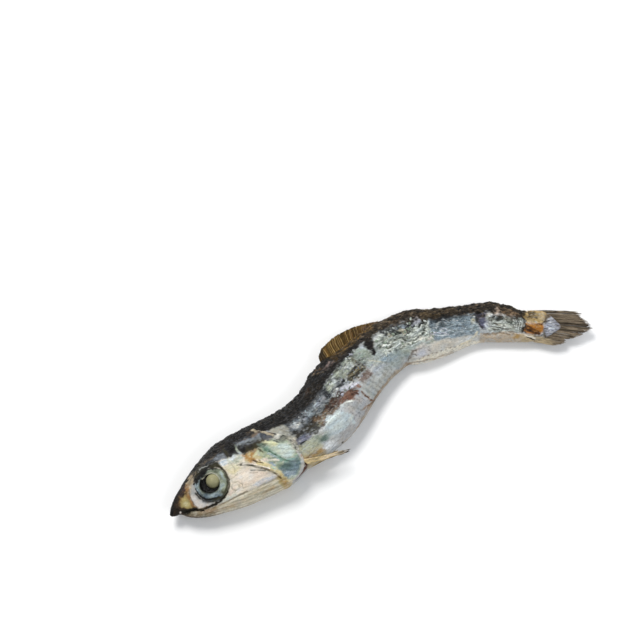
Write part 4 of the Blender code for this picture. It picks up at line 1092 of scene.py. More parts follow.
    streak("rootWhite", 0.16, (86.4, -2.3, 87.6, -2.6, 88.6, -3.1), 0.2, 0.25, 0.85, 0.08),
    *several(streak, "rootSpeck",
        (0.1, (86.8, -2.7, 87.8, -3, 88.6, -3.5), 0.12, 0.2, 0.9, -0.08),
        (0.12, (88.2, -2.4, 89.6, -2.3, 90.2, -1.6), 0.14, 0.2, 0.7)),
    patch("rayBrown", (90.4, 3.2, 94.4, 2.6, 94.4, -2.8, 90.6, -3.6, 90, -1), 0.3, 0.3, solid=True),
    patch("rootLavender", (90, -0.4, 90.8, 1, 91.5, 2.5, 92.6, 1.6, 93.4, 0, 92.8, -1.8, 91.2, -2.6, 90.6,
        -1.6), 0.3, 0.35, solid=True),
    *[streak("finDark", 0.1, (90.2, 0.55 - 0.42 * n, 91.6, 1.3 - 0.6 * n, 93.2, 1.75 - 0.85 * n), 0.16, 0.3,
        0.55, -0.05) for n in range(6)],
    *[streak("silverWhite", 0.11, (90.8 + 0.1 * n, 1.25 - 0.62 * n, 91.8 + 0.12 * n, 1.6 - 0.74 * n), 0.12,
        0.25, 0.8, 0.05) for n in range(6)],
]


# the skin: a head that ends in the gill cover's rim, and the trunk that comes out from under it

skin = {
    "rows": {"head": 318, "trunk": 428},
    "columns": {"head": 300, "trunk": 228},
    "leftShare": 0.62,  # how much of the columns goes to the left flank, which lies up
    "rowBias": 1.06,
    "lip": (0.975, 0.997),  # between these shares of the head's rows its rim bends inward
    "lipTuck": 0.25,
    "closing": {"head": 24.0, "trunk": 27.0},  # where the end inside the fish comes to a point
    "overlap": 2.6,
    "gillEdge": (
        (-7.4, 24.6), (-6.4, 27.0), (-5.0, 28.6), (-3.0, 29.3), (0.0, 29.5), (2.0, 28.4), (4.0, 26.2),
        (7.6, 22.5),
    ),
    "ridges": (
        # rise, reach, line
        (0.35, 0.75, ((18.6, 1.1), (20.2, 0.2), (22.0, -1.8), (23.6, -4.2), (24.0, -6.4))),  # over the cheek
        (-0.4, 0.28, ((1.9, -1.0), (3.2, -1.7), (4.5, -2.2), (5.4, -3.2))),  # the mouth
        (-0.22, 0.3, ((5.4, -3.2), (8.0, -3.9), (12.0, -4.3), (16.0, -4.6), (23.0, -5.0))),  # the jaw's seam
    ),
    # rise, along, height, how much longer than high, reach
    "swells": ((0.4, 39.5, -4.2, 1.5, 2.6), (0.3, 64, -3.8, 1.6, 1.9)),
    "socket": (10.15, -0.1),
    "socketRadius": 3.4,
    "socketDepth": 1.5,
    "backEdge": (
        (0, 1.6), (5, 3.2), (9, 4.6), (13, 5.0), (17, 5.4), (22, 5.6), (25, 5.0), (28, 4.3), (31, 3.5),
        (42, 3.6), (46, 4.2), (58, 3.8), (66, 3.0), (72, 2.4), (86, 1.8), (94, 9),
    ),  # above it the skin is dark and crusty
    "jawTop": ((0, -1.4), (5, -3.2), (10, -4.3), (24, -5.0)),
    "lumpZones": ((0.8, (31, 43), -1.6, 3.2, 0.8), (0.6, (28.6, 31), -2.6, 4.2, 0.4)),
    "foilZones": (
        # share, stretch, lowest, highest, soft edge
        (1.0, (56, 67), -1.5, 3.5, 0.8), (0.8, (78.6, 86), -2.2, 1.6, 0.5),
        (0.95, (41.8, 52), -0.6, 4.0, 0.8), (0.45, (67.5, 77), -2.0, 2.0, 0.8),
        (0.5, (36, 43), -1.4, 1.6, 0.8),
    ),
    "gillPlate": ((23.4, 31), -6.5, 3.0),
    "rearRibs": ((46.5, 57), -6.2, -2.2),
    "frontRibs": ((40, 46), -6.4, -3.0),
    "rings": ((39, 43), -6.6, -1.8),
    # specks on the back: crumb, blue, pit and tan are the crust's own tones; front and rear are the tones of
    # painted glints
    "specksAndGlints": {
        "crumb": "75644e", "blue": "5b6068", "pit": "12100e", "tan": "6a5b49",
        "front": "5c5d5e", "rear": "6f604c",
    },
}


def bodySection(along, turn):
    back, belly = through(fish["back"], along), through(fish["belly"], along)
    up, out = np.cos(turn), np.sin(turn)
    height = (back + belly) / 2 + (back - belly) / 2 * up
    boxy = 0.85 + 0.15 * fade(along, 26, 36)
    side = through(fish["halfWidth"], along) * np.sign(out) * np.abs(out) ** boxy * (1 + 0.08 * up)
    return height, side


def sectionNormal(along, turn):
    step = 0.02
    h0, s0 = bodySection(along, turn - step)
    h1, s1 = bodySection(along, turn + step)
    normal = np.stack([s1 - s0, h0 - h1], axis=-1)
    return normal / np.maximum(np.linalg.norm(normal, axis=1, keepdims=True), 1e-9)


def gillRim(height):
    edge = skin["gillEdge"]
    return through(edge, np.clip(height, edge[0][0], edge[-1][0]))


def rimAlong(turn):
    # where the seen edge of the gill cover crosses this turn of the body
    along = np.full(len(turn), 27.0)
    for _ in range(8):
        seenAlong, seenHeight = seenAt(along, *bodySection(along, turn))
        along = along + gillRim(seenHeight) - seenAlong
    return along


def broadRelief(look, spots, upright):
    # the forms that the solid has too
    along, height = look["along"], look["height"]
    rim = gillRim(height)
    plate = fade(along, rim - 9, rim - 1) * fade(height, 6.5, 3.0)
    relief = 0.5 * plate * (look["part"] == "head")
    for rise, reach, line in skin["ridges"]:
        relief += rise * hump(lineDistance(line, along, height), 0, reach)
    past, over = (spots[:, :2] - skin["socket"]).T
    eye = np.hypot(past, over * (1 + 0.3 * fade(over, 0.5, 2.5))) + 0.12 * look["warpA"]
    relief += 0.16 * hump(eye, skin["socketRadius"] + 0.6, 0.4) * fade(along, 6, 9)
    relief -= skin["socketDepth"] * fade(eye, skin["socketRadius"] + 0.1, skin["socketRadius"] - 0.5)
    relief -= 0.45 * hump(height, 0.2, 1.5) * fade(along, 30, 36) * fade(along, 90, 82)
    for rise, s, h, stretch, reach in skin["swells"]:
        relief += rise * hump(np.hypot((along - s) / stretch, height - h), 0, reach)
    relief -= 0.4 * hump(along, 59.3, 0.8) * fade(height, 0.0, -2.5)
    relief -= 0.3 * hump(along, 86.3, 0.9) * fade(np.abs(height), 3.4, 1.0)
    return relief * fade(np.abs(upright), 1.0, 0.9) * fade(spots[:, 0], 1, 3)


def zone(look, span, low, high, soft=0.8):
    # 1 inside a stretch of the body, between two heights, 0 outside it
    along, height = look["along"], look["height"]
    share = fade(along, span[0] - soft, span[0] + soft) * fade(along, span[1] + soft, span[1] - soft)
    return share * fade(height, low - soft, low + soft) * fade(height, high + soft, high - soft)


def strongest(look, zones):
    return np.max([share * zone(look, *limits) for share, *limits in zones], axis=0)


def fineRelief(look, spots):
    # wrinkles, crust, foil and ribs; each zone has its own kind
    along, height = look["along"], look["height"]
    backEdge = through(skin["backEdge"], along) + 0.5 * look["warpA"]
    onBack = fade(height, backEdge - 0.35, backEdge + 0.45)
    broad = 0.16 * grain(spots, 2.3, 11.0) + 0.14 * grain(spots, 1.2, 37.0) - 0.18 * fade(along, 54, 48)
    crust = 0.15 * (grain(spots, (1.1, 0.8, 0.9), 3.0, 4, "ridged") - 1.0) + 0.1 * grain(spots, 0.5, 5.0, 3)
    relief = (broad + crust) * onBack * fade(along, 13, 19) * (0.85 + 0.5 * fade(along, 52, 60))
    relief += 0.5 * crust * onBack * fade(along, 19, 13) * fade(along, 2, 6)
    scales = np.abs(np.sin(along * 2.1 + 2.2 * grain(spots, 1.6, 57.0, 2))) - 0.6
    relief += 0.22 * scales * fade(height, 5.2, 6.4) * fade(along, 27, 30) * fade(along, 47, 44)
    # head: soft wrinkles, striae that fan out from the chin, rays over the gill cover
    head = fade(along, 30, 28) if look["part"] == "trunk" else np.ones(len(along))
    relief += head * (0.045 * grain(spots, (1.5, 0.5, 0.8), 8.0, 3) + 0.02 * grain(spots, 0.35, 9.0, 2))
    jawTop = through(skin["jawTop"], along)
    jaw = fade(height, jawTop + 0.15, jawTop - 0.4) * fade(along, 24.5, 23) * fade(along, 4, 7)
    fan = height / (0.4 + 0.6 * fade(along, -4, 24))
    striae = np.sin(fan * 9.0 + 1.6 * grain(spots, (4.0, 1.2, 1.2), 2.0, 2)) * jaw
    rays = np.sin(6.5 * (height + 0.55 * along) + 2.2 * grain(spots, 2.0, 14.0, 2))
    rays = rays * zone(look, *skin["gillPlate"]) * head
    # flank: waves, lumps behind the gill cover, crumpled foil
    flank = (1 - onBack) * (1 - head)
    waves = 0.075 * grain(spots, (1.6, 0.5, 0.9), 21.0, 3) + 0.045 * grain(spots, (0.45, 0.6, 0.6), 23.0, 2)
    lumpZone = strongest(look, skin["lumpZones"]) * (1 - onBack)
    bentLumps = spots + 0.5 * np.stack([look["warpC"], look["warpD"], look["warpC"]], axis=-1)
    lumps = fade(grain(bentLumps, (1.5, 0.75, 1.0), 27.0, 1, "cracks"), 0.0, 0.35)
    foilZone = strongest(look, skin["foilZones"]) * (1 - onBack)
    bent = spots + 0.7 * np.stack([grain(spots, 2.0, seed) for seed in (31.0, 33.0, 35.0)], axis=-1)
    foil = grain(bent, (1.8, 0.75, 1.1), 41.0, 3, "ridged") - 1.0
    creases = fade(grain(bent, (2.2, 1.0, 1.4), 43.0, 1, "cracks"), 0.22, 0.0) * foilZone
    # belly: ribs, and rings round the bulge
    rearRibs = np.sin(along * 5.6 + 0.9 * height + 1.6 * grain(spots, 1.8, 51.0))
    frontRibs = np.sin(along * 9.0 + 3.0 * grain(spots, 1.2, 53.0))
    ribs = 0.45 * rearRibs * zone(look, *skin["rearRibs"]) + 0.3 * frontRibs * zone(look, *skin["frontRibs"])
    bulge = np.hypot((along - 38.6) / 1.25, height + 4.6)
    rings = np.sin(bulge * 5.0 + 2.4 * grain(spots, 1.8, 55.0)) * hump(bulge, 2.6, 0.9)
    rings = 0.5 * rings * zone(look, *skin["rings"])
    # the ribs, striae, rays and rings also shade the paint: painted shade and painted light of their relief
    look.update(onBack=onBack, flank=flank, lumps=lumps, lumpZone=lumpZone, foil=foil, foilZone=foilZone,
                creases=creases, lines=0.1 * striae + 0.06 * rays + 0.22 * ribs + 0.12 * rings)
    relief += 0.03 * striae + 0.025 * rays + 0.04 * ribs + 0.05 * rings + flank * waves
    return relief + lumpZone * 0.2 * (lumps - 0.7) + 0.2 * foil * foilZone - 0.13 * creases


def mottle(look, spots):
    # broken colour: pigment specks, painted glints on the silver, and hollows darkened partly by pigment and
    # partly by painted shade
    def specks(size, seed, octaves, low, high, kind="soft"):
        return fade(grain(spots, size, seed, octaves, kind), low, high)

    def threads(size, seed, reach):
        return fade(np.abs(grain(spots, size, seed, 2)), reach, 0.0)

    along, height, onBack, flank = (look[key] for key in ("along", "height", "onBack", "flank"))
    busy = 0.45 + 0.55 * np.maximum(flank * fade(height, -3.2, -1.2), onBack)
    broken = 0.20 * grain(spots, (2.2, 0.9, 1.4), 61.0, 3) + 0.26 * grain(spots, (0.5, 0.36, 0.45), 63.0, 2)
    broken = busy * (broken + 0.2 * grain(spots, 0.22, 65.0, 1))
    # the fine relief goes into the colour too: darker in its hollows (gathered pigment and painted shade),
    # lighter on its ridges (painted highlight)
    shade = 1 + broken + 1.5 * np.clip(look["fine"], -0.22, 0.2) + look["lines"]
    warmth = 0.078 * grain(spots, (1.6, 0.8, 1.2), 67.0, 2)[:, None] * np.array((1.0, 0.15, -1.0))
    look["colour"] *= np.clip(shade, 0.3, 1.6)[:, None] * (1 + warmth)
    for share, tone in (
        # white ridged specks over the flank: painted glints
        (specks((1.4, 0.34, 0.6), 71.0, 3, 1.4, 1.8, "ridged") * fade(height, -6.2, -4.0) * flank * 0.5,
         "flakeWhite"),
        # the cracks between the lumps are darker: partly pigment, partly painted shade
        (fade(look["lumps"], 0.5, 0.0) * look["lumpZone"] * 0.35, "bandHollow"),
        # the foil's valleys and creases are darker (partly pigment, partly painted shade) and its ridges
        # white with painted glints
        (fade(look["foil"], -0.35, -0.9) * look["foilZone"] * 0.5, "foilDark"),
        (fade(look["foil"], 0.2, 0.75) * look["foilZone"] * 0.7, "foilWhite"),
        (look["creases"] * 0.4, "foilDark"),
        (threads((2.4, 0.5, 1.0), 75.0, 0.05) * flank * 0.4, "lobeEdge"),
        # light specks over the dark back: painted glints
        (specks((0.42, 0.28, 0.36), 105.0, 2, 0.22, 0.5) * onBack * 0.5, "lobeEdge"),
        (threads((1.0, 0.36, 0.6), 107.0, 0.07) * np.maximum(onBack * 0.8, flank * 0.45), "pupilBlack"),
    ):
        layTone(look, share, linear(tones[tone][0]))
    # on the back, crumbs, blue, pits and tan are the crust's own specks; the front-to-rear tone is for
    # painted glints
    specksAndGlints = {name: linear(tone) for name, tone in skin["specksAndGlints"].items()}
    brown = fade(along, 42, 58)
    glintTone = specksAndGlints["front"] + fade(along, 46, 56)[:, None] * (specksAndGlints["rear"] - specksAndGlints["front"])
    for share, tone in (
        (specks((0.7, 0.45, 0.6), 81.0, 3, 0.2, 0.45) * (0.05 + 0.35 * brown) * fade(along, 2, 8),
         specksAndGlints["crumb"]),
        (specks((1.4, 0.6, 0.8), 85.0, 3, 0.12, 0.42) * fade(along, 56, 40) * 0.14, specksAndGlints["blue"]),
        (specks((0.9, 0.5, 0.6), 87.0, 2, 0.2, 0.5) * 0.7, specksAndGlints["pit"]),
        (specks((1.0, 0.5, 0.7), 103.0, 3, 0.25, 0.5) * fade(along, 44, 56) * 0.35, specksAndGlints["tan"]),
        (specks((0.6, 0.24, 0.3), 109.0, 2, 0.22, 0.5) * fade(along, 3, 8) * 0.55, glintTone),
    ):
        layTone(look, share * onBack, tone)
    look["colour"] *= np.exp(onBack * (0.4 + 0.6 * brown) * grain(spots, (0.8, 0.4, 0.5), 83.0, 3))[:, None]
    light = look["colour"].mean(axis=1)
    look["colour"] *= (0.5 + 0.5 * fade(light, 0.0, 0.2))[:, None]
    look["finish"][:, 2] = np.clip(0.3 * fade(light, 0.12, 0.4) + look["finish"][:, 1], 0, 0.5)


def skinMaterial():
    material, shader, start = newMaterial("driedSkin", {"Specular IOR Level": 0.13, "Coat Roughness": 0.22})
    paint = start.add("ShaderNodeVertexColor", {"layer_name": "paint"})
    finish = start.add("ShaderNodeVertexColor", {"layer_name": "finish"})
    rough = start.add("ShaderNodeSeparateColor", {}, {"Color": finish})
    metal, coat = (Wire(rough.tree, rough.socket.node.outputs[channel]) for channel in (1, 2))
    fleck = noiseAt(start, (1.9, 4.6, 3.8), 4.0, 0.62)
    pepper = noiseAt(start, (4.5, 8.5, 7.5), 3.0, 0.65)
    colour = paint.mixed((0.02, 0.018, 0.015, 1), (1.1 - 2.4 * fleck).clamped() * 0.5)
    colour = colour.mixed((0.012, 0.01, 0.008, 1), (2.2 * pepper - 1.25).clamped() * 0.7)
    grit = noiseAt(start, (2.4, 6.4, 5.6), 3.0, 0.7)
    colour = colour.mixed((0.125, 0.118, 0.11, 1), (3.2 * grit - 1.9).clamped() * 0.45)
    connect(shader, "Base Color", colour)
    connect(shader, "Roughness", (rough + 0.3 * fleck - 0.15).clamped())
    connect(shader, "Metallic", metal)
    connect(shader, "Coat Weight", coat)
    creases = bumped(start, noiseAt(start, (1.3, 5.5, 4.0), 3.0, 0.6, 0.4), 0.00022, 0.6)
    flecks = bumped(start, fleck, 0.00018, 0.6, creases)
    connect(shader, "Normal", bumped(start, pepper, 0.00006, 0.6, flecks))
    return material


def paintedLook(spots, part):
    # everything that the paint and the fine relief of one piece are worked out from
    along, height, side = spots.T
    seenAlong, seenHeight = seenAt(along, height, side)
    count = len(along)
    return {
        "part": part, "along": seenAlong, "height": seenHeight, "side": side,
        "warpA": grain(spots, 1.9, 91.0, 3), "warpB": grain(spots, 1.9, 93.0, 3),
        "warpC": grain(spots, 0.5, 95.0, 2), "warpD": grain(spots, 0.5, 97.0, 2),
        "worn": 1 - 0.45 * fade(grain(spots, (0.7, 0.4, 0.5), 99.0, 2), 0.1, 0.5),
        "blotch": fade(grain(spots, 1.1, 89.0, 2), -0.1, 0.25),
        "stroke": 1 - 0.6 * fade(grain(spots, (1.0, 0.7, 0.9), 98.0, 2), 0.0, 0.45),
        "relief": np.zeros(count),
        "colour": np.tile(linear(tones["cheekCream" if part == "head" else "bellyGrey"][0]), (count, 1)),
        "finish": np.tile((0.40, 0.05, 0.0), (count, 1)),
    }


def makeSkin(part, material):
    bm = bmesh.new()
    row, column = gridShares(bm, skin["rows"][part], skin["columns"][part]).T
    mesh = meshFrom(bm, part)
    isHead = part == "head"
    left = skin["leftShare"]
    turn = math.pi * np.where(column < left, column / left, 1 + (column - left) / (1 - left))
    rim = rimAlong(turn)
    nape = fade(bodySection(rim, turn)[0], 4.4, 5.6)
    if isHead:
        lip = fade(row, *skin["lip"])
        along = np.minimum(row / skin["lip"][0], 1) ** skin["rowBias"] * rim - skin["lipTuck"] * lip
        sunk = lip - 0.03 * nape * fade(along, rim - 3, rim - 1)
    else:
        along = rim - skin["overlap"] + (fish["bodyEnd"] - rim + skin["overlap"]) * row
        tucked = rim - 0.65 * nape
        sunk = 0.9 * fade(along, tucked + 0.15, tucked - 0.35)
    height, side = bodySection(along, turn)
    spots = np.stack([along, height, side], axis=-1)
    look = paintedLook(spots, part)
    layMarks(headMarks if isHead else trunkMarks, look)
    look["fine"] = fineRelief(look, spots) + look["relief"]
    mottle(look, spots)
    normal = sectionNormal(along, turn)
    relief = broadRelief(look, spots, np.cos(turn)) + look["fine"] * fade(along, 0.2, 1.5) - sunk
    height, side = height + normal[:, 0] * relief, side + normal[:, 1] * relief
    # both ends close in a point; the ones inside the fish are out of sight
    start, end = row < 1e-6, row > 1 - 1e-6
    snoutHeight = (through(fish["back"], along) + through(fish["belly"], along)) / 2 * (start & isHead)
    height, side = np.where(start | end, snoutHeight, height), np.where(start | end, 0, side)
    if isHead:
        along = np.where(start, 0, along)
    along = np.where(end if isHead else start, skin["closing"][part], along)
    piece = makePiece(part, mesh, placeAll(along, height, side), spots, look, material)
    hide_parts("dried_fish")
    print(part, "made,", len(mesh.polygons), "faces")
    return piece


# eyes: a raised ring round a sunken pupil, with the hard lens standing in it

eye = {
    "centre": (10.15, -0.1),
    "tilt": 8.0,  # the head narrows towards the snout, and the eye faces that way
    "pressed": 0.55,  # how much deeper the eye next to the table sits
    "turns": 140,
    "profile": (
        (0.0, -0.80), (0.9, -0.80), (1.55, -0.72), (1.9, -0.5), (2.05, -0.16), (2.2, 0.02), (2.5, 0.12),
        (2.85, 0.16), (3.1, 0.12), (3.32, 0.0), (3.52, -0.3), (3.52, -1.4), (0.0, -1.4),
    ),  # radius, rise over the flank
    "steps": 7,
    "pupilShift": (-0.32, 0.14),
    "lensShift": (0.60, 0.44),
    "lensRadius": 1.52,
    "lensSink": 0.86,
    "lensSegments": (56, 36),
    "lensEdgeShade": "6a6444",
    "lensFinish": (0.34, 0.0, 0.25),
}

eyeMarks = [
    patch("irisBlue", (6.8, 2.4, 8.6, 3.6, 10.2, 3.3, 8.8, 2.4, 8, 1, 8.1, -0.4, 9.2, -1.3, 11.2, -1.4,
        11.2, -3.2, 7.6, -2.8, 6.4, 0), 0.6, 0.35),
    patch("irisPale", (7.2, 1.9, 8.4, 3, 9.4, 3, 8.4, 2, 7.9, 1, 7.4, 0.9), 0.3, 0.3),
    *several(blob, "irisDeep",
        ((8.1, -1.1), (0.8, 0.8), -50, 0.8, 0.3, 0.9), ((9.9, 3.1), (1.4, 0.25), -6, 0.7, 0.5, 0.6)),
    blob("browBlack", (7.8, -0.2), (0.35, 0.8), -10, 0.8, 0.3, 0.6),
    blob("irisMoss", (13, -0.6), (0.5, 0.7), 20, 0.8, 0.5, 0.5),
    *several(streak, "irisDeep",
        (0.08, (7.6, 1.4, 8, 2.2, 8.8, 2.9), 0.2, 0.3, 0.7),
        (0.08, (8.4, -0.9, 9.6, -1.5, 11, -1.6, 12.2, -1), 0.2, 0.3, 0.5),
        (0.06, (12.6, 2, 13.2, 1, 13.2, -0.2), 0.16, 0.4, 0.4)),
    *several(blob, "irisPale",
        ((9.6, -1.6), (0.9, 0.28), -14, 0.6, 0.3, 0.8), ((11.9, -1.1), (0.8, 0.4), 30, 0.6, 0.4, 0.6),
        ((13.1, 0.7), (0.3, 1), 5, 0.6, 0.4, 0.7)),
    blob("irisMoss", (12.7, 2.2), (0.6, 0.45), -40, 0.6, 0.4, 0.8),
    *several(streak, "browBlack",
        (0.9, (8.1, 2.8, 9.3, 3.5, 10.8, 3.8, 12.2, 3.65, 13.4, 2.9), 0.45, 0.35),
        # painted shadow between the iris ring and the orbit, round the eye's lower left
        (0.24, (7.1, 1.4, 7.1, 0.2, 7.4, -0.8, 8.2, -1.8, 9.4, -2.4, 10.3, -2.6), 0.3, 0.2), solid=True),
    blob("browOlive", (11.9, -2.1), (0.7, 0.35), 8, 0.7, 0.4, 0.9),
    streak("browOlive", 0.3, (13.5, 3, 14, 1.7, 14, 0.4, 13.5, -1, 12.5, -2.2, 11.3, -2.75, 9.6, -2.9, 8.2,
        -2.6), 0.35, 0.25, 0.85, solid=True),
    blob("pupilBlack", (10.1, 0.82), (2.1, 2.05), 0, 0.09, 0.12, solid=True),
    # a painted highlight on the upper rim of the pupil's hollow
    streak("irisRimHighlight", 0.13, (9.3, 2.5, 10.4, 2.83, 11.6, 2.6, 12.3, 1.9, 12.4, 0.9, 12.1, 0), 0.12, 0.1,
        0.75),
]


def eyeFrame(shift, way):
    # where the eye stands on the left (1) or right (-1) flank: tailward, towards the back, outward, place
    along, height = eye["centre"][0] + shift[0], eye["centre"][1] + shift[1]
    surface = float(through(fish["halfWidth"], np.array([eye["centre"][0]]))[0])
    surface = surface if way > 0 else eye["pressed"] - surface
    spot = placeAll(*np.array([[along], [height], [surface]]))[0]
    heading = math.radians(float(through(fish["heading"], np.array([along]))[0]))
    tailward = Vector((math.cos(heading), math.sin(heading), 0))
    backward = Vector((-tailward.y, tailward.x, 0))
    tilt = math.radians(eye["tilt"])
    outward = Vector((0, 0, way)) * math.cos(tilt) - tailward * math.sin(tilt)
    return np.array([backward.cross(outward) * way, backward, outward, Vector(spot)]), surface


def eyeSpots(points, shift, surface, way):
    # points of the eye in its own axes (mm), as along, height and side
    spots = points + np.array((eye["centre"][0] + shift[0], eye["centre"][1] + shift[1], 0))
    spots[:, 2] = surface + way * points[:, 2]
    return spots


def standing(points, frame3):
    # points of the eye in its own axes (mm), in the frame and above the table
    placed = points @ frame3[:3] * mm + frame3[3]
    placed[:, 2] = np.maximum(placed[:, 2], 0)
    return placed


def makeEye(way, material):
    name = "eyeLeft" if way > 0 else "eyeRight"
    bm = bmesh.new()
    rows = [Vector((radius, 0, rise)) for radius, rise in eye["profile"]]
    shares = [step / eye["steps"] for step in range(eye["steps"])]
    path = [start.lerp(end, share) for start, end in zip(rows, rows[1:]) for share in shares]
    verts = [bm.verts.new(point) for point in path + rows[-1:]]
    edges = [bm.edges.new(pair) for pair in zip(verts, verts[1:])]
    turning = {"cent": (0, 0, 0), "axis": (0, 0, 1), "angle": math.tau, "steps": eye["turns"]}
    bmesh.ops.spin(bm, geom=verts + edges, use_merge=True, **turning)
    bmesh.ops.remove_doubles(bm, verts=bm.verts, dist=1e-5)
    mesh = meshFrom(bm, name)
    points = pointsOf(mesh)
    radius = np.hypot(points[:, 0], points[:, 1])
    frame3, surface = eyeFrame((0, 0), way)
    spots = eyeSpots(points, (0, 0), surface, way)
    lumps = 0.09 * grain(spots, 0.9, 4.0, 2) + 0.045 * grain(spots, (0.3, 0.3, 0.6), 6.0, 2)
    top = fade(points[:, 2], -1.2, -0.6)
    points[:, 2] += lumps * top
    points[:, :2] += np.array(eye["pupilShift"]) * (fade(radius, 3.2, 2.2) * top)[:, None]
    points[:, :2] *= (1 + 0.02 * grain(spots, 1.6, 7.0))[:, None]
    spots = eyeSpots(points, (0, 0), surface, way)
    look = paintedLook(spots, "eye")
    tone, rough, metal = tones["irisGreen"]
    look["colour"][:] = linear(tone)
    look["finish"][:] = (rough, metal, 0.0)
    layMarks(eyeMarks, look)
    # where the lumps raise the ring its colour is lighter: painted light
    shade = 1 + 0.25 * grain(spots, (0.5, 0.5, 1.0), 12.0, 2) + 0.2 * grain(spots, 1.2, 13.0) + 3 * lumps
    look["colour"] *= np.clip(shade, 0.5, 1.5)[:, None]
    makePiece(name, mesh, standing(points, frame3), spots, look, material)


def makeLens(way, material):
    bm = bmesh.new()
    across, around = eye["lensSegments"]
    bmesh.ops.create_uvsphere(bm, u_segments=across, v_segments=around, radius=eye["lensRadius"])
    mesh = meshFrom(bm, "lens")
    points = pointsOf(mesh)
    frame3, surface = eyeFrame(eye["lensShift"], way)
    spots = eyeSpots(points, eye["lensShift"], surface, way)
    _, rise, lift = (points / eye["lensRadius"]).T
    points *= (1 + 0.012 * grain(spots, 0.8, 3.0, 2))[:, None]
    points[:, 2] -= eye["lensSink"]
    # the lens is painted lighter towards the fish's back: painted light
    shade = 1 + 0.12 * grain(spots, 0.7, 5.0, 3) + 0.12 * rise
    finish = np.tile(eye["lensFinish"], (len(points), 1))
    look = {"colour": shade[:, None] * linear(tones["lensOlive"][0]), "finish": finish}
    # darker round the ball's edge where it turns down into the pupil: painted shade
    layTone(look, 0.75 * fade(lift, 0.55, 0.2), linear(eye["lensEdgeShade"]))
    makePiece("lensLeft" if way > 0 else "lensRight", mesh, standing(points, frame3), spots, look, material)


# fins: rays that run from a root line to an edge line, with a thin web between them

fins = {
    "tail": {
        "root": ((86.4, 3.25), (87.0, 1.6), (87.2, 0.2), (87.0, -1.2), (86.4, -2.6)),
        "edge": (
            (97.4, 3.2), (98.6, 2.6), (98.4, 1.9), (99.2, 1.3), (100.0, 0.6), (100.6, -0.4), (99.2, -1.1),
            (98.2, -1.6), (96.8, -2.1), (95.2, -2.3), (95.0, -3.0), (94.4, -3.4), (92.6, -3.8),
        ),
        "rays": 96, "steps": 18, "width": 0.19, "taper": 0.35, "thick": 0.34, "uneven": 0.35, "wander": 0.26,
        "web": 0.14, "webOut": 0.95, "webTone": ("rayBrown", 0.5), "bow": (0.4, -0.2),
        "side": (0.3, 5.0, 1.0), "lean": (0.0, 0.0),
        "tones": ("rayBrown", "rayBrown", "rayTan", "rayTan", "rayBrown", "rayGrey", "rayDark"),
    },
    "dorsal": {
        "root": ((45.6, 6.2), (48.5, 5.0), (51.5, 4.7), (54.5, 4.7), (57.6, 5.0)),
        "edge": ((46.8, 8.3), (48.0, 8.95), (51.0, 8.8), (54.2, 7.9), (58.2, 6.05)),
        "rays": 50, "steps": 12, "width": 0.15, "taper": 0.4, "thick": 0.6, "uneven": 0.16, "wander": 0.2,
        "web": 0.2, "webOut": 0.96, "webTone": ("finGold", 0.5), "bow": (0.5, 0.3),
        "side": (0.2, 7.0, 0.0), "lean": (0.0, 0.5), "wavyRoot": True,
        "tones": ("finGold", "finStraw", "finStraw", "finOlive", "finTan", "finGold"),
    },
    "pectoralLeft": {
        "root": ((28.2, -4.9), (28.4, -5.6), (28.6, -6.4)),
        "edge": ((36.2, -9.2), (36.3, -9.4), (35.8, -9.6)),
        "rays": 15, "steps": 22, "width": 0.26, "taper": 0.35, "thick": 0.26, "uneven": 1.5, "wander": 0.24,
        "web": 0.34, "webOut": 0.88, "webTone": ("finCream", 0.8), "bow": (0.1, 0.1),
        "side": (0.0, 0.0, 0.0), "lean": (2.45, -1.2),
        "tones": ("finCream", "finPink", "finCream", "rayTan"),
    },
    "pectoralRight": {
        "root": ((28.4, -5.3), (28.6, -5.8), (28.9, -6.3)),
        "edge": ((34.9, -7.0), (35.1, -7.3), (34.7, -7.7)),
        "rays": 12, "steps": 18, "width": 0.26, "taper": 0.35, "thick": 0.26, "uneven": 1.2, "wander": 0.24,
        "web": 0.32, "webOut": 0.88, "webTone": ("finTan", 0.8), "bow": (0.1, 0.1),
        "side": (0.0, 0.0, 0.0), "lean": (-2.25, 0.3),
        "tones": ("finCream", "finPink", "finCream", "rayTan"),
    },
    "anal": {
        "root": ((60.5, -4.4), (64.0, -4.7), (68.0, -4.45), (72.0, -3.65), (76.0, -2.8)),
        "edge": ((60.9, -5.5), (64.4, -5.85), (68.8, -5.6), (72.8, -4.65), (76.7, -3.75)),
        "rays": 46, "steps": 8, "width": 0.16, "taper": 0.6, "thick": 0.22, "uneven": 0.25, "wander": 0.08,
        "web": 0.3, "webOut": 0.85, "webTone": ("finPink", 0.5), "bow": (0.1, 0.1),
        "side": (0.15, 9.0, 0.0), "lean": (0.0, 0.0),
        "tones": ("finPink", "finPink", "finCream", "rayTan"),
    },
}
# side: how far the sheet waves, its turns and where it starts
# lean: how far the sheet stands to the left at its root, and how much more at its edge

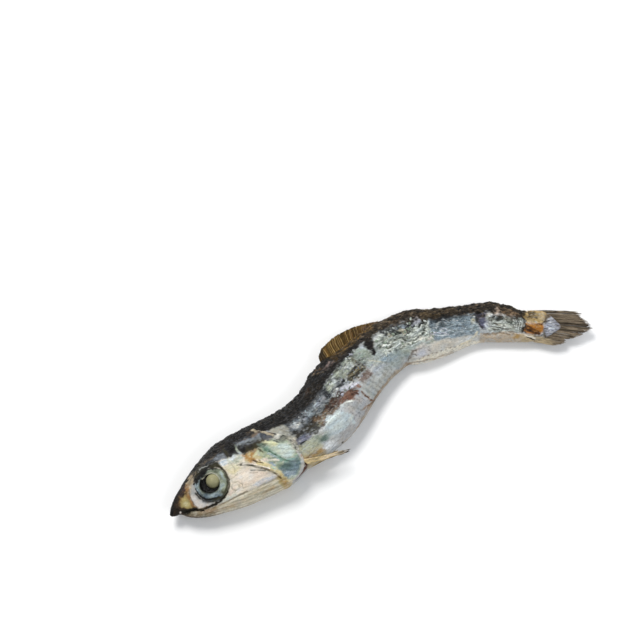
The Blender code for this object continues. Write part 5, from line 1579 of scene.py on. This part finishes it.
finMarks = [
    patch("bellyYellow", (27.6, -4.4, 31.4, -5, 32.6, -6.4, 31.6, -7.4, 27.6, -7), 0.8, 0.4, 0.5),
    blob("backPink", (56.6, 6), (1.5, 0.5), -10, 0.7, 0.6, 0.35),
    patch("rayDark", (92, 4, 96, 3.6, 98.6, 2.6, 98, 2.2, 95, 2.9, 92, 3.1), 0.3, 0.4, 0.5),
    *several(patch, "rayTan",
        ((92.6, 2.8, 97.2, 2.8, 98.4, 1.4, 96.4, 0.8, 93.6, 1.3), 0.6, 0.5, 0.45),
        ((91, -2.4, 94.6, -2.5, 94.6, -3.6, 91.5, -4.4), 0.4, 0.4, 0.55)),
    patch("rootCream", (87.6, -2.4, 90.6, -2.5, 92.4, -3.3, 91.5, -4.4, 87.6, -4.2), 0.4, 0.3, 0.85),
    streak("spotDark", 0.5, (86.6, 3.5, 88.6, 3.7, 90.6, 3.6, 92.6, 3.3), 0.3, 0.2, solid=True),
    streak("finDark", 0.5, (32.9, -8, 34, -8.5, 35.2, -8.9), 0.4, 0.3, 0.85),
    streak("fleshDark", 0.18, (29.6, -6.9, 31.4, -7.5, 33, -8.3), 0.25, 0.3, 0.7),
    *several(patch, "finDark",
        ((45.2, 6, 46.6, 8.6, 48.2, 9.4, 48, 8, 47.2, 6.6, 47, 5.4), 0.3, 0.3, 0.85),
        ((34.4, -8, 36.8, -8.6, 36.8, -10, 34.8, -9.4), 0.4, 0.3, 0.9),
        ((33, -7.5, 36.8, -8.4, 36.8, -10, 33.4, -9), 0.4, 0.4, 0.6),
        ((92.6, 1.4, 96.4, 0.7, 99.6, 0.2, 99.8, -0.8, 97, -0.4, 93.4, -0.8), 0.4, 0.5, 0.5)),
    streak("finDark", 0.3, (47, 8.4, 49, 8.95, 51, 8.8, 54.5, 7.9), 0.3, 0.4, 0.7),
    streak("finPink", 0.14, (33.4, -7.9, 34.6, -8.3, 35.6, -8.7), 0.2, 0.3, 0.6),
    patch("finDark", (53, 7.6, 55.4, 6.9, 57.6, 6.2, 57.6, 5, 53.4, 5.2), 0.5, 0.5, 0.4),
]


def onLine(points, share):
    # places along a bent line, by share of its length
    rows = np.array(points, float)
    reach = np.append(0, np.cumsum(np.hypot(*np.diff(rows, axis=0).T)))
    at = share * reach[-1]
    return np.interp(at, reach, rows[:, 0]), np.interp(at, reach, rows[:, 1])


def finPlace(fin, across, out):
    # a place in the fin's sheet: along, height and side
    rootAlong, rootHeight = onLine(fin["root"], across)
    edgeAlong, edgeHeight = onLine(fin["edge"], across)
    bow = (fin["bow"][0] + (fin["bow"][1] - fin["bow"][0]) * across) * 4 * out * (1 - out)
    along = rootAlong + (edgeAlong - rootAlong) * out
    height = rootHeight + (edgeHeight - rootHeight) * out + bow
    wave, turns, start = fin["side"]
    wave = wave * np.sin(turns * across + start) * (1 if "wavyRoot" in fin else out)
    return along, height, fin["lean"][0] + fin["lean"][1] * out + wave


def finishFin(mesh, name, spots, colour, rough, material):
    look = paintedLook(spots, "fin")
    look["colour"], look["finish"] = colour, np.tile((rough, 0.05, 0.0), (len(spots), 1))
    layMarks(finMarks, look)
    shade = 1 + 0.45 * grain(spots, (0.7, 0.25, 0.4), 15.0, 3) + 0.25 * grain(spots, 1.6, 16.0)
    look["colour"] *= np.clip(shade, 0.35, 1.7)[:, None]
    makePiece(name, mesh, placeAll(*spots.T), spots, look, material)


def makeRays(name, material):
    fin = fins[name]
    count = fin["rays"]
    bm = bmesh.new()
    share = np.concatenate([gridShares(bm, fin["steps"], 6) for _ in range(count)])
    mesh = meshFrom(bm, name)
    ray = np.repeat(np.arange(count), len(share) // count)
    out, around = share[:, 0], share[:, 1] * math.tau
    across = (ray + 0.5 + 0.3 * rng.uniform(-1, 1, count)[ray]) / count
    rootAlong, rootHeight = onLine(fin["root"], across)
    edgeAlong, edgeHeight = onLine(fin["edge"], across)
    full = np.hypot(edgeAlong - rootAlong, edgeHeight - rootHeight)
    reach = 1 - 1.6 * fin["uneven"] * rng.uniform(0, 1, count)[ray] ** 2 / full
    drift = fin["wander"] * grain(np.stack([out * 3, ray * 7.3, 0 * out], axis=-1), 1.0, 5.0, 2) * out
    along, height, side = finPlace(fin, across, out * reach)
    nextAlong, nextHeight, _ = finPlace(fin, across, out * reach + 0.02)
    step = np.hypot(nextAlong - along, nextHeight - height)
    acrossAlong, acrossHeight = -(nextHeight - height) / step, (nextAlong - along) / step
    closed = (out < 1e-6) | (out > 1 - 1e-6)
    swell = np.where(closed, 0, 1 - fin["taper"] * out) * rng.uniform(0.7, 1.3, count)[ray]
    sideways = drift + fin["width"] / 2 * swell * np.cos(around)
    rise = fin["thick"] / 2 * swell * np.sin(around) + 0.5 * drift + 0.1 * rng.uniform(-1, 1, count)[ray]
    along, height = along + acrossAlong * sideways, height + acrossHeight * sideways
    spots = np.stack([along, height, side + rise], axis=-1)
    picks = rng.integers(0, len(fin["tones"]), count)
    palette = np.array([linear(tones[tone][0]) for tone in fin["tones"]])
    colour = palette[picks][ray] * rng.uniform(0.65, 1.25, count)[ray][:, None]
    finishFin(mesh, name + "Rays", spots, colour, 0.42, material)


def makeWeb(name, material):
    fin = fins[name]
    bm = bmesh.new()
    across, fold = gridShares(bm, fin["rays"] * 4, 60).T
    mesh = meshFrom(bm, name)
    out = 1 - np.abs(2 * fold - 1)  # out over the left face of the sheet and back over the right one
    face = np.where(fold < 0.5, 1.0, -1.0)
    places = np.stack([across * fin["rays"] * 0.6, 0 * out, 0 * out], axis=-1)
    torn = 1 - 0.09 * (grain(places, 1.0, 9.0, 3) + 0.3)
    along, height, side = finPlace(fin, across, out * fin["webOut"] * torn)
    rim = fade(out, 1.0, 0.9) * fade(across, 0, 0.02) * fade(across, 1, 0.98)
    pleat = np.sin(across * fin["rays"] * math.tau) * fade(out, 0, 0.15)
    thick = fin["web"] / 2 * (1 - 0.55 * out) * rim
    spots = np.stack([along, height, side + (face + 0.3 * pleat) * thick], axis=-1)
    tone, share = fin["webTone"]
    # the web is painted lighter on its pleats' crests and darker in their troughs: painted shade
    colour = share * linear(tones[tone][0]) * (1 + 0.5 * pleat[:, None])
    finishFin(mesh, name + "Web", spots, colour, 0.45, material)


# loose bits that stand on the skin

bits = {
    "flakes": (
        # stretch along, heights, how many, size, tones
        ((42.0, 53.0), (-1.2, 4.0), 70, (0.28, 0.7),
         ("flakeWhite", "flakeGreen", "flakeLilac", "bandSilver")),
        ((56.0, 67.0), (-1.4, 3.8), 46, (0.3, 0.85), ("foilWhite", "foilPale", "sideGreen")),
        ((78.5, 86.0), (-1.8, 1.6), 26, (0.25, 0.6), ("foilWhite", "flankWhite", "foilPale")),
        ((67.0, 76.5), (-1.8, 2.2), 16, (0.2, 0.5), ("silverWhite", "sideBlue", "flankSteel")),
        ((31.0, 42.0), (1.4, 3.2), 24, (0.2, 0.45), ("bandWhite", "bandSilver", "bandBlue")),
    ),
    "crumbs": (
        ((53.0, 67.0), (4.0, 9.0), 130, (0.10, 0.24), ("backTan", "backBrown", "backRust", "backPink")),
        ((67.0, 86.0), (2.4, 9.0), 110, (0.08, 0.2), ("backTan", "backBrown", "backGold")),
        ((27.0, 53.0), (4.4, 9.0), 90, (0.08, 0.2), ("backBlue", "backBrown", "backTan")),
    ),
    "flatness": {"flakes": 0.8, "crumbs": 0.7},
    "tilt": {"flakes": 0.35, "crumbs": 0.4},
    "lowestSide": -1.0,  # none on the flank that lies on the table
    "flakeThick": 0.12,
}


def scatter(name, skinPiece, shape, material):
    # small copies of one shape stand on the skin wherever their stretch of the fish allows
    mesh = skinPiece.data
    skinSpots = np.empty(len(mesh.vertices) * 3)
    mesh.attributes["fishPlace"].data.foreach_get("vector", skinSpots)
    skinSpots = skinSpots.reshape(-1, 3)
    seenAlong, seenHeight = seenAt(*skinSpots.T)
    bm = bmesh.new()
    colours, finishes = [], []
    for (start, end), (low, high), count, sizes, names in bits[name]:
        inside = (seenAlong > start) & (seenAlong < end) & (seenHeight > low) & (seenHeight < high)
        free = np.flatnonzero(inside & (skinSpots[:, 2] > bits["lowestSide"]))
        for index in rng.choice(free, count, replace=False):
            vertex = mesh.vertices[index]
            size = rng.uniform(*sizes) * mm
            turn = Matrix.Rotation(rng.uniform(0, math.tau), 4, "Z")
            turn = turn @ Matrix.Rotation(rng.normal(0, bits["tilt"][name]), 4, "X")
            stand = vertex.normal.to_track_quat("Z", "Y").to_matrix().to_4x4()
            grow = Matrix.Diagonal((size, size * rng.uniform(0.45, 0.9), size * bits["flatness"][name], 1))
            made = shape(bm, Matrix.Translation(vertex.co + vertex.normal * 0.03 * mm) @ stand @ turn @ grow)
            tone, rough, metal = tones[names[rng.integers(len(names))]]
            colours.append(np.tile(linear(tone) * rng.uniform(0.6, 1.0), (made, 1)))
            finishes.append(np.tile((rough, metal, 0.0), (made, 1)))
    loose = meshFrom(bm, name)
    setLook(loose, pointsOf(loose) / mm, np.concatenate(colours), np.concatenate(finishes))
    finishPiece(name, loose, material)
    print(name, "made,", len(loose.polygons), "faces")


def curledFlake(bm, place):
    made = bmesh.ops.create_grid(bm, x_segments=4, y_segments=2, size=0.5)["verts"]
    for vertex in made:
        x, y, _ = vertex.co
        vertex.co = (x * (1 - 0.5 * y * y), y * (1 - 0.8 * abs(x)), 0.9 * x * x + 0.3 * y * x)
    faces = list({face for vertex in made for face in vertex.link_faces})
    shell = bmesh.ops.solidify(bm, geom=faces, thickness=bits["flakeThick"])["geom"]
    whole = {vertex for face in faces for vertex in face.verts}
    whole |= {vertex for vertex in shell if isinstance(vertex, bmesh.types.BMVert)}
    bmesh.ops.transform(bm, matrix=place, verts=list(whole))
    return len(whole)


def crumb(bm, place):
    return len(bmesh.ops.create_icosphere(bm, subdivisions=1, radius=0.5, matrix=place)["verts"])


makeCamera()
makeStudio()
skinFinish = skinMaterial()
makeSkin("head", skinFinish)
trunk = makeSkin("trunk", skinFinish)
for way in (1, -1):
    makeEye(way, skinFinish)
    makeLens(way, skinFinish)
    print("eye and lens made")
for name in fins:
    makeRays(name, skinFinish)
    makeWeb(name, skinFinish)
    print(name, "fin made")
scatter("flakes", trunk, curledFlake, skinFinish)
scatter("crumbs", trunk, crumb, skinFinish)
